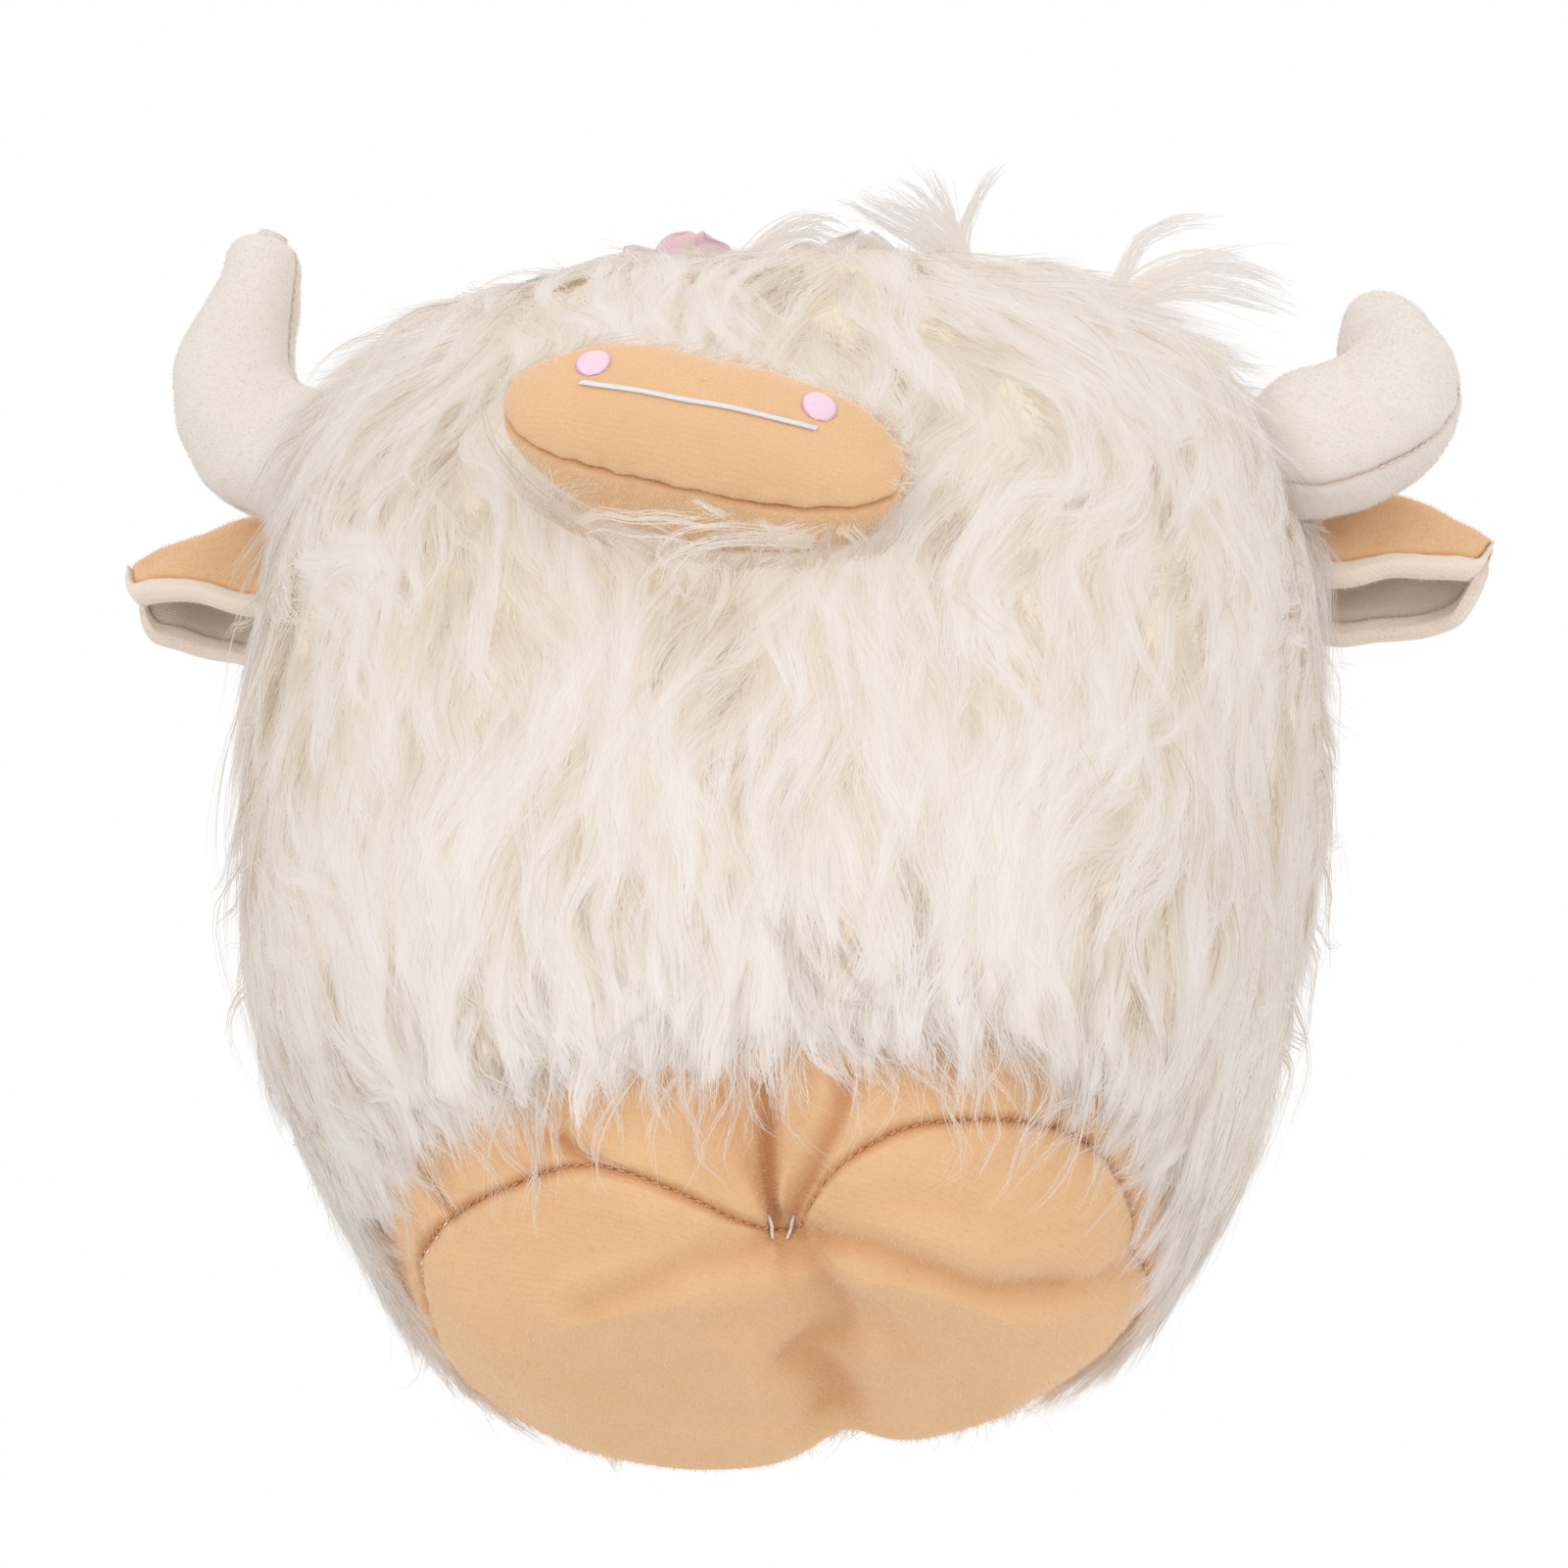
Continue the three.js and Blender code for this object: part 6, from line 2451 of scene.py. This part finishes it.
    def nests(self) -> None:
        """Fluffs fur up under and round each flower."""
        lines, outs = [], []
        t, rng = self.t[:, None], self.rng
        for middle in self.flowers:
            place, normal, _ = (part[0] for part in self.body_map.snap(middle[None]))
            first = unit(np.cross(normal, np.array([0.0, 1.0, 0.0])))
            second = np.cross(normal, first)
            for _ in range(self.nest_locks):
                angle = rng.uniform(0, FULL_TURN)
                way = first * math.cos(angle) + second * math.sin(angle)
                start, end = rng.uniform(0.0, 0.006), rng.uniform(0.014, 0.026)
                high = rng.uniform(0.0105, 0.0135)
                across = np.cross(normal, way) * rng.normal(0, 0.003)
                lift = self.nest_low + (high - self.nest_low) * np.sin(2.3 * t)
                lines.append(place + way * (start + (end - start) * t) + across * t**2 + normal * lift)
                outs.append(normal)
        guide = self.line_guide(np.array(lines), np.array(outs)[:, None])
        self.grow("flower_nests", guide, Tuft(0.0016, 20, clear=False))

    def short_pile(self) -> None:
        """Plants short fur evenly between the locks, so that no bare ground shows."""
        rng, count, steps = self.rng, self.short_strands, self.short_points
        roots, _, share = self.scattered(count)
        own = rng.normal(0, 2 * self.stray_turn, count)
        length = self.short_length * rng.uniform(0.6, 1.15, count)
        rise = rng.uniform(0.001, 0.0045, count)
        place, normal, there = self.body_map.snap(roots)
        points, outs = [], []
        for t in np.linspace(0, 1, steps):
            height = self.underfur(there) - 0.0010 + rise * t
            points.append(place + normal * height[:, None])
            outs.append(normal)
            way = self.flow(place, normal, own)
            place, normal, there = self.body_map.snap(place + way * (length / (steps - 1))[:, None])
        points, out = self.keep_clear(np.stack(points, 1)), np.stack(outs, 1)
        points = points + rng.normal(0, 0.0004, points.shape)
        along = unit(np.gradient(points, axis=1))
        across = np.cross(along, unit(out + 0.4 * rng.normal(size=(count, 1, 3))))
        t = np.linspace(0, 1, steps)[None, :, None]
        edge = unit(across) * self.strand_width * (1 - 0.85 * t**1.8) * 0.6
        corners = np.stack([points - edge, points + edge], 2).reshape(count, 2 * steps, 3)
        shading = np.repeat(unit(out + 0.05 * rng.normal(size=(count, 1, 3))), 2, axis=1)
        tint = np.clip(0.5 + 0.2 * rng.normal(size=(count, 1, 1)), 0.02, 0.98) + 0 * t
        # Painted shade: the short pile lies low, so it takes the darker root end of the colour ramp.
        places = self.map_places(np.concatenate([tint, 0 * tint + 0.05 + 0.4 * t], -1), 2)
        parts = (corners, shading, places.reshape(count, 2 * steps, 2))
        for number, chosen in enumerate(np.array_split(np.argsort(share), 3)):
            name = f"short_pile_{number + 1}"
            self.pile_piece(name, *(part[chosen] for part in parts), True, long_pile)

    def flyaways(self) -> None:
        """Adds the loose wisps that stand off the coat."""
        rng = self.rng
        chosen = rng.choice(np.flatnonzero(self.share > 0.34), self.flyaway_locks, replace=False)
        length = self.pile_length * rng.uniform(0.8, 1.2, len(chosen))
        high = rng.uniform(0.016, 0.023, len(chosen))
        guide = self.locks(chosen, length, self.underfur(self.share[chosen]), high, 1.7)
        self.grow("pile_wisps", guide, Tuft(0.0018, 9, self.thin_share))

    def hem_wisps(self) -> None:
        """Lets thin wisps hang past the hem, over the tan base."""
        rng, hem = self.rng, self.body_map.form.hem_share
        chosen = rng.choice(np.flatnonzero(self.share < hem + 0.09), self.hem_locks, replace=False)
        length = (self.share[chosen] - hem) * self.profile_length + rng.uniform(0.010, 0.034, len(chosen))
        low = self.underfur(self.share[chosen])
        guide = self.locks(chosen, length, low, low + 0.004, 2.2)
        self.grow("hem_wisps", guide, Tuft(0.0011, 8, self.thin_share), True)

    def fringe(self) -> None:
        """Lets fur from above fall over the muzzle's upper rim."""
        rng, each, t = self.rng, (self.fringe_locks, 1), self.t[None]
        start = math.pi * rng.uniform(0.10, 0.99, each)
        angle = start - t * rng.uniform(0.05, 0.75, each) + rng.normal(0, 0.05, each) * np.sin(4 * t)
        top = ease(np.sin(start), 0.25, 0.85) * ease(start, 0.5, 1.2)
        end = mix(0.41, 0.14, top) + rng.uniform(-0.05, 0.06, each)
        polar = mix(0.74, end, t**0.7) * math.pi
        lift = rng.uniform(0.0002, 0.0030, each) * (1 - 0.5 * t) + 0.0005
        self.on_muzzle("muzzle_fringe", angle, polar, lift, 9)

    def beard(self) -> None:
        """Lets a few curls of fur rise from below over the muzzle's lower rim."""
        rng, each, t = self.rng, (self.beard_locks, 1), self.t[None]
        start = math.pi * rng.uniform(1.12, 1.92, each)
        turn = rng.normal(0, 0.42, each) * t + 0.06 * np.sin(5 * t + rng.uniform(0, FULL_TURN, each)) * t
        polar = mix(0.78, rng.uniform(0.47, 0.62, each), np.sin(0.5 * math.pi * t)) * math.pi
        lift = mix(0.006, rng.uniform(0.0006, 0.004, each), t) + 0.0012 * (1 - np.cos(5 * t))
        self.on_muzzle("muzzle_beard", start + turn, polar, lift, 8)

    def on_muzzle(self, name: str, angle: Array, polar: Array, lift: Array, strands: int) -> None:
        """Lays fur over the muzzle's cloth.

        Args:
            name: The piece's name.
            angle: Angles round the muzzle of each lock's points.
            polar: Angles from the middle of the front panel, over the rim, to that of the back panel.
            lift: How far the points lie off the cloth.
            strands: Strands in a lock.
        """
        muzzle = self.muzzle
        front, back = (muzzle.dome(angle, np.sin(polar), half, muzzle.cloth) for half in (Half.FRONT, Half.BACK))
        local = np.where((polar < math.pi / 2)[..., None], front, back)
        outward = unit(local / np.array([muzzle.half_width, muzzle.front_depth, muzzle.half_height]) ** 2)
        points = muzzle.to_toy(local + outward * lift[..., None])
        guide = self.line_guide(points, outward @ muzzle.rotation.T)
        self.grow(name, guide, Tuft(0.0015, strands, self.thin_share, False))

    def muzzle_wisps(self) -> None:
        """Adds the curls that the photograph shows at the muzzle's lower right."""
        rng, back, t = self.rng, self.camera.axes()[2], self.t[:, None]
        low = self.muzzle.to_toy(np.array([0.012, 0.008, -self.muzzle.half_height - 0.004])) + back * 0.002
        lines = []
        for wisp in MUZZLE_WISPS:
            path = densify(self.camera.on_plane(wisp.pixels, low), len(t))
            for _ in range(wisp.locks):
                lines.append(path + rng.normal(0, wisp.spread, 3) + rng.normal(0, 2.5 * wisp.spread, 3) * t)
        self.grow("muzzle_curls", self.line_guide(np.array(lines), back), Tuft(0.0007, 8, clear=False))

    def crown_wisps(self) -> None:
        """Adds the tufts that the photograph shows standing off the crown."""
        rng, back, t = self.rng, self.camera.axes()[2], self.t[:, None]
        turn, share = np.meshgrid(np.linspace(0, 1, 181), np.linspace(0.5, 0.999, 120))
        skin = self.body_map.form.points(turn, share, self.underfur_full).reshape(-1, 3)
        lines = []
        for wisp in CROWN_WISPS:
            start, way = (np.array(part) for part in self.camera.ray(wisp.pixels[0]))
            away = skin - start
            gap = np.linalg.norm(away - (away @ way)[:, None] * way, axis=1)
            path = densify(self.camera.on_plane(wisp.pixels, skin[np.argmin(gap)]), len(t))
            for _ in range(wisp.locks):
                root = rng.normal(0, wisp.spread, 3)
                lines.append(path + root * (0.3 + 0.7 * np.sin(2.4 * t)) + rng.normal(0, 0.0012, 3) * t**2)
        guide = self.line_guide(np.array(lines), back)
        # The wisps take the greyer pile, which is painted shade.
        self.grow("crown_wisps", guide, Tuft(0.0010, 12, clear=False), finish=shaded_pile)


@dataclass
class Garland:
    """Satin flowers and leaves sewn in a row over the front of the crown."""

    form: BodyForm
    petal_length: float = 0.018
    petal_width: float = 0.0225
    petal_lift: float = math.radians(40)
    petals: int = 5
    heart_radius: float = 0.005
    leaf_length: float = 0.026
    leaf_width: float = 0.012
    ribbon: float = 0.0005
    stand_off: float = 0.0122
    leaf_stand_off: float = 0.0114
    blooms: tuple[tuple[str, float, float, Finish, int], ...] = (
        ("flower_pink", -0.065, 0.82, pink_satin, 100),
        ("flower_white", 0.052, 0.84, white_satin, 200),
        ("flower_pale", 0.178, 0.82, pale_satin, 300),
    )
    rows: int = 22
    columns: int = 20

    def frame_at(self, turn_share: float, coat_share: float, lift: float) -> tuple[Array, Array]:
        """Where a flower sits, and its axes.

        Args:
            turn_share: Share of a turn from the front.
            coat_share: Share of the coat from the hem to the crown.
            lift: How far it stands off the filling.

        Returns:
            The place, and a rotation whose last column points outward.
        """
        form = self.form
        turn = np.array([0.75 + turn_share])
        share = np.array([mix(form.hem_share, 1.0, coat_share)])
        normal = form.normals(turn, share)[0]
        place = form.points(turn, share)[0] + normal * lift
        spin = Vector((0, 0, 1)).rotation_difference(Vector(normal)).to_matrix()
        return place, np.array(spin)

    def blade(self, length: float, width: float, lift: float, cup: float, crimp: float, seed: int) -> Skin:
        """One petal or leaf lying along X, cupped and crimped at its edge.

        Args:
            length: Its length.
            width: Its width.
            lift: How far it rises from the flower's plane.
            cup: How deep it is cupped.
            crimp: How high its edge waves.
            seed: Which waves it has.

        Returns:
            A thin closed sheet.
        """
        rng = np.random.default_rng(seed)
        along = np.linspace(0.02, 1, self.rows + 1)[:, None]
        across = np.linspace(-1, 1, self.columns + 1)[None]
        half = width / 2 * np.sqrt(np.clip(np.sin(along**0.75 * math.pi * 0.985), 0.0006, 1))
        x = along * length + 0 * across
        y = half * across
        z = cup * (across**2 - 0.3) * np.sin(along * math.pi) + math.tan(lift) * x * (1 - 0.25 * along)
        phase = rng.uniform(0, FULL_TURN, 2)
        waves = np.sin(7 * along + 4 * across + phase[0]) + 0.6 * np.sin(13 * along - 6 * across + phase[1])
        z = z + crimp * waves * (np.abs(across) ** 2 + along**3) * 0.5
        face = np.stack([x, y, z], -1)
        back = face - np.array([0, 0, self.ribbon])
        return shell(face, back, False)

    def flower(self, name: str, turn_share: float, coat_share: float, finish: Finish, seed: int) -> None:
        """One flower of two layers of petals round a gathered heart.

        Args:
            name: The node that it stands for.
            turn_share: Share of a turn from the front.
            coat_share: Share of the coat's height.
            finish: Its satin.
            seed: Which waves its petals have.
        """
        place, spin = self.frame_at(turn_share, coat_share, self.stand_off)
        whole: Skin | None = None
        for layer, (scale, lift) in enumerate(((1.0, self.petal_lift), (0.6, 1.2 * self.petal_lift))):
            for number in range(self.petals):
                blade = self.blade(
                    self.petal_length * scale, self.petal_width * scale, lift, 0.0022, 0.0008,
                    seed + 10 * layer + number,
                )
                angle = FULL_TURN * (number + 0.5 * layer) / self.petals
                blade.points[:, 0] += 0.35 * self.heart_radius
                blade.points = blade.points @ turned("Z", angle).T
                blade.points[:, 2] += 0.0012 + 0.0016 * layer
                whole = blade if whole is None else whole.joined(blade)
        for number in range(7):
            angle = FULL_TURN * number / 7
            bead = self.blade(0.0062, 0.0048, math.radians(52), 0.0014, 0.0005, seed + 30 + number)
            bead.points = bead.points @ turned("Z", angle).T
            bead.points[:, 2] += 0.002
            whole = whole.joined(bead)
        whole.points = whole.points @ spin.T + place
        settle(whole.piece(name + "_petals", finish), "body", finish.name, name)

    def leaf(self, name: str, turn_share: float, coat_share: float, finish: Finish, seed: int) -> None:
        """One folded leaf.

        Args:
            name: The node that it stands for.
            turn_share: Share of a turn from the front.
            coat_share: Share of the coat's height.
            finish: Its satin.
            seed: Which waves it has.
        """
        place, spin = self.frame_at(turn_share, coat_share, self.leaf_stand_off)
        blade = self.blade(self.leaf_length, self.leaf_width, 0.0, 0.002, 0.0006, seed)
        blade.points[:, 0] -= self.leaf_length / 2
        blade.points[:, 2] += 0.001
        blade.points = blade.points @ turned("Z", math.pi / 2).T @ spin.T + place
        settle(blade.piece(name + "_blade", finish), "body", finish.name, name)

    def middles(self) -> list[Array]:
        """The middles of the three flowers, for fur to keep clear of."""
        found = []
        for _, turn_share, coat_share, *_ in self.blooms:
            place, spin = self.frame_at(turn_share, coat_share, self.stand_off)
            found.append(place + spin[:, 2] * 0.003)
        return found

    def build(self) -> None:
        """Makes the three flowers and the two leaves."""
        for bloom in self.blooms:
            self.flower(*bloom)
        self.leaf("leaf_left", -0.09, 0.71, leaf_satin, 400)
        self.leaf("leaf_right", 0.115, 0.735, leaf_satin, 401)


@dataclass(frozen=True)
class Lamp:
    """A soft square lamp."""

    name: str
    place: tuple[float, float, float]
    size: float
    power: float


@dataclass
class Studio:
    """The pale floor, the plain world and the soft lamps."""

    middle: Array
    ambient: float = 0.90
    floor_half: float = 3.0
    lamps: tuple[Lamp, ...] = (
        Lamp("key", (-0.8, -2.1, -0.1), 1.5, 9.5),
        Lamp("fill", (1.3, -1.6, -0.6), 1.5, 9.0),
        Lamp("top", (0.2, 0.3, 2.0), 1.5, 6.0),
        Lamp("back", (0.3, 1.8, 0.7), 1.4, 6.0),
    )

    def build(self) -> None:
        """Makes the world, the floor and the lamps."""
        self.world()
        self.floor()
        for lamp in self.lamps:
            self.hang(lamp)

    def world(self) -> None:
        """White where the camera sees it, and an even grey light elsewhere."""
        world = bpy.data.worlds.new("studio")
        bpy.context.scene.world = world
        world.use_nodes = True
        tree = world.node_tree
        tree.nodes.clear()
        out = tree.nodes.new("ShaderNodeOutputWorld")
        plain, seen = (tree.nodes.new("ShaderNodeBackground") for _ in range(2))
        plain.inputs["Strength"].default_value = self.ambient
        plain.inputs["Color"].default_value = (1, 1, 1, 1)
        seen.inputs["Strength"].default_value = 1.0
        seen.inputs["Color"].default_value = (1, 1, 1, 1)
        rays = tree.nodes.new("ShaderNodeLightPath")
        choice = tree.nodes.new("ShaderNodeMixShader")
        tree.links.new(rays.outputs["Is Camera Ray"], choice.inputs[0])
        tree.links.new(plain.outputs[0], choice.inputs[1])
        tree.links.new(seen.outputs[0], choice.inputs[2])
        tree.links.new(choice.outputs[0], out.inputs["Surface"])

    def floor(self) -> None:
        """A floor that shows the toy's shadow and lets light and sight through from below."""
        size = self.floor_half
        corners = np.array([[-size, -size, 0], [size, -size, 0], [size, size, 0], [-size, size, 0]], float)
        corners[:, 2] = -0.0002
        floor = Skin(corners, np.array([[0, 1, 2, 3]])).piece("floor", floor_finish)
        floor.visible_shadow = False
        floor.visible_diffuse = False
        floor.visible_glossy = False
        floor.visible_transmission = False

    def hang(self, lamp: Lamp) -> None:
        """Hangs one lamp, turned to the toy."""
        light = bpy.data.lights.new(lamp.name, "AREA")
        light.size = lamp.size
        light.energy = lamp.power
        holder = bpy.data.objects.new(lamp.name, light)
        place = Vector(lamp.place)
        way = Vector(self.middle) - place
        holder.matrix_world = Matrix.Translation(place) @ way.to_track_quat("-Z", "Y").to_matrix().to_4x4()
        bpy.context.scene.collection.objects.link(holder)


def body_filling(form: BodyForm) -> None:
    """Fills the body with fibre, drawn in from the cloth so that no crease reaches it."""
    turn, share = np.meshgrid(np.arange(96) / 96, np.linspace(0.004, 0.996, 60))
    grid = form.points(turn, share)
    middle = grid.reshape(-1, 3).mean(0)
    filling_piece("body_filling", mix(middle, grid, 0.93), True, "body")


def main() -> None:
    """Builds the toy's sub-assemblies in order, then the studio."""
    logging.basicConfig(level=logging.INFO, format="%(name)s: %(message)s")
    form = BodyForm()
    camera = PhotoCamera(aim=form.offset + np.array([0.005, -0.022, 0.148]))
    camera.create()
    body_map = BodyMap(form)
    body_filling(form)
    BaseCloth(body_map, camera).build()
    muzzle = Muzzle(form)
    muzzle.build()
    horns = [Horn(side, form) for side in Side]
    for horn in horns:
        horn.build()
    ears = [Ear(side, form) for side in Side]
    for ear in ears:
        ear.build()
    garland = Garland(form)
    Coat(body_map, camera, muzzle, horns, ears, garland.middles()).build()
    garland.build()
    Studio(middle=camera.aim).build()
    bpy.context.scene.view_settings.view_transform = "Standard"


if __name__ == "__main__":
    main()
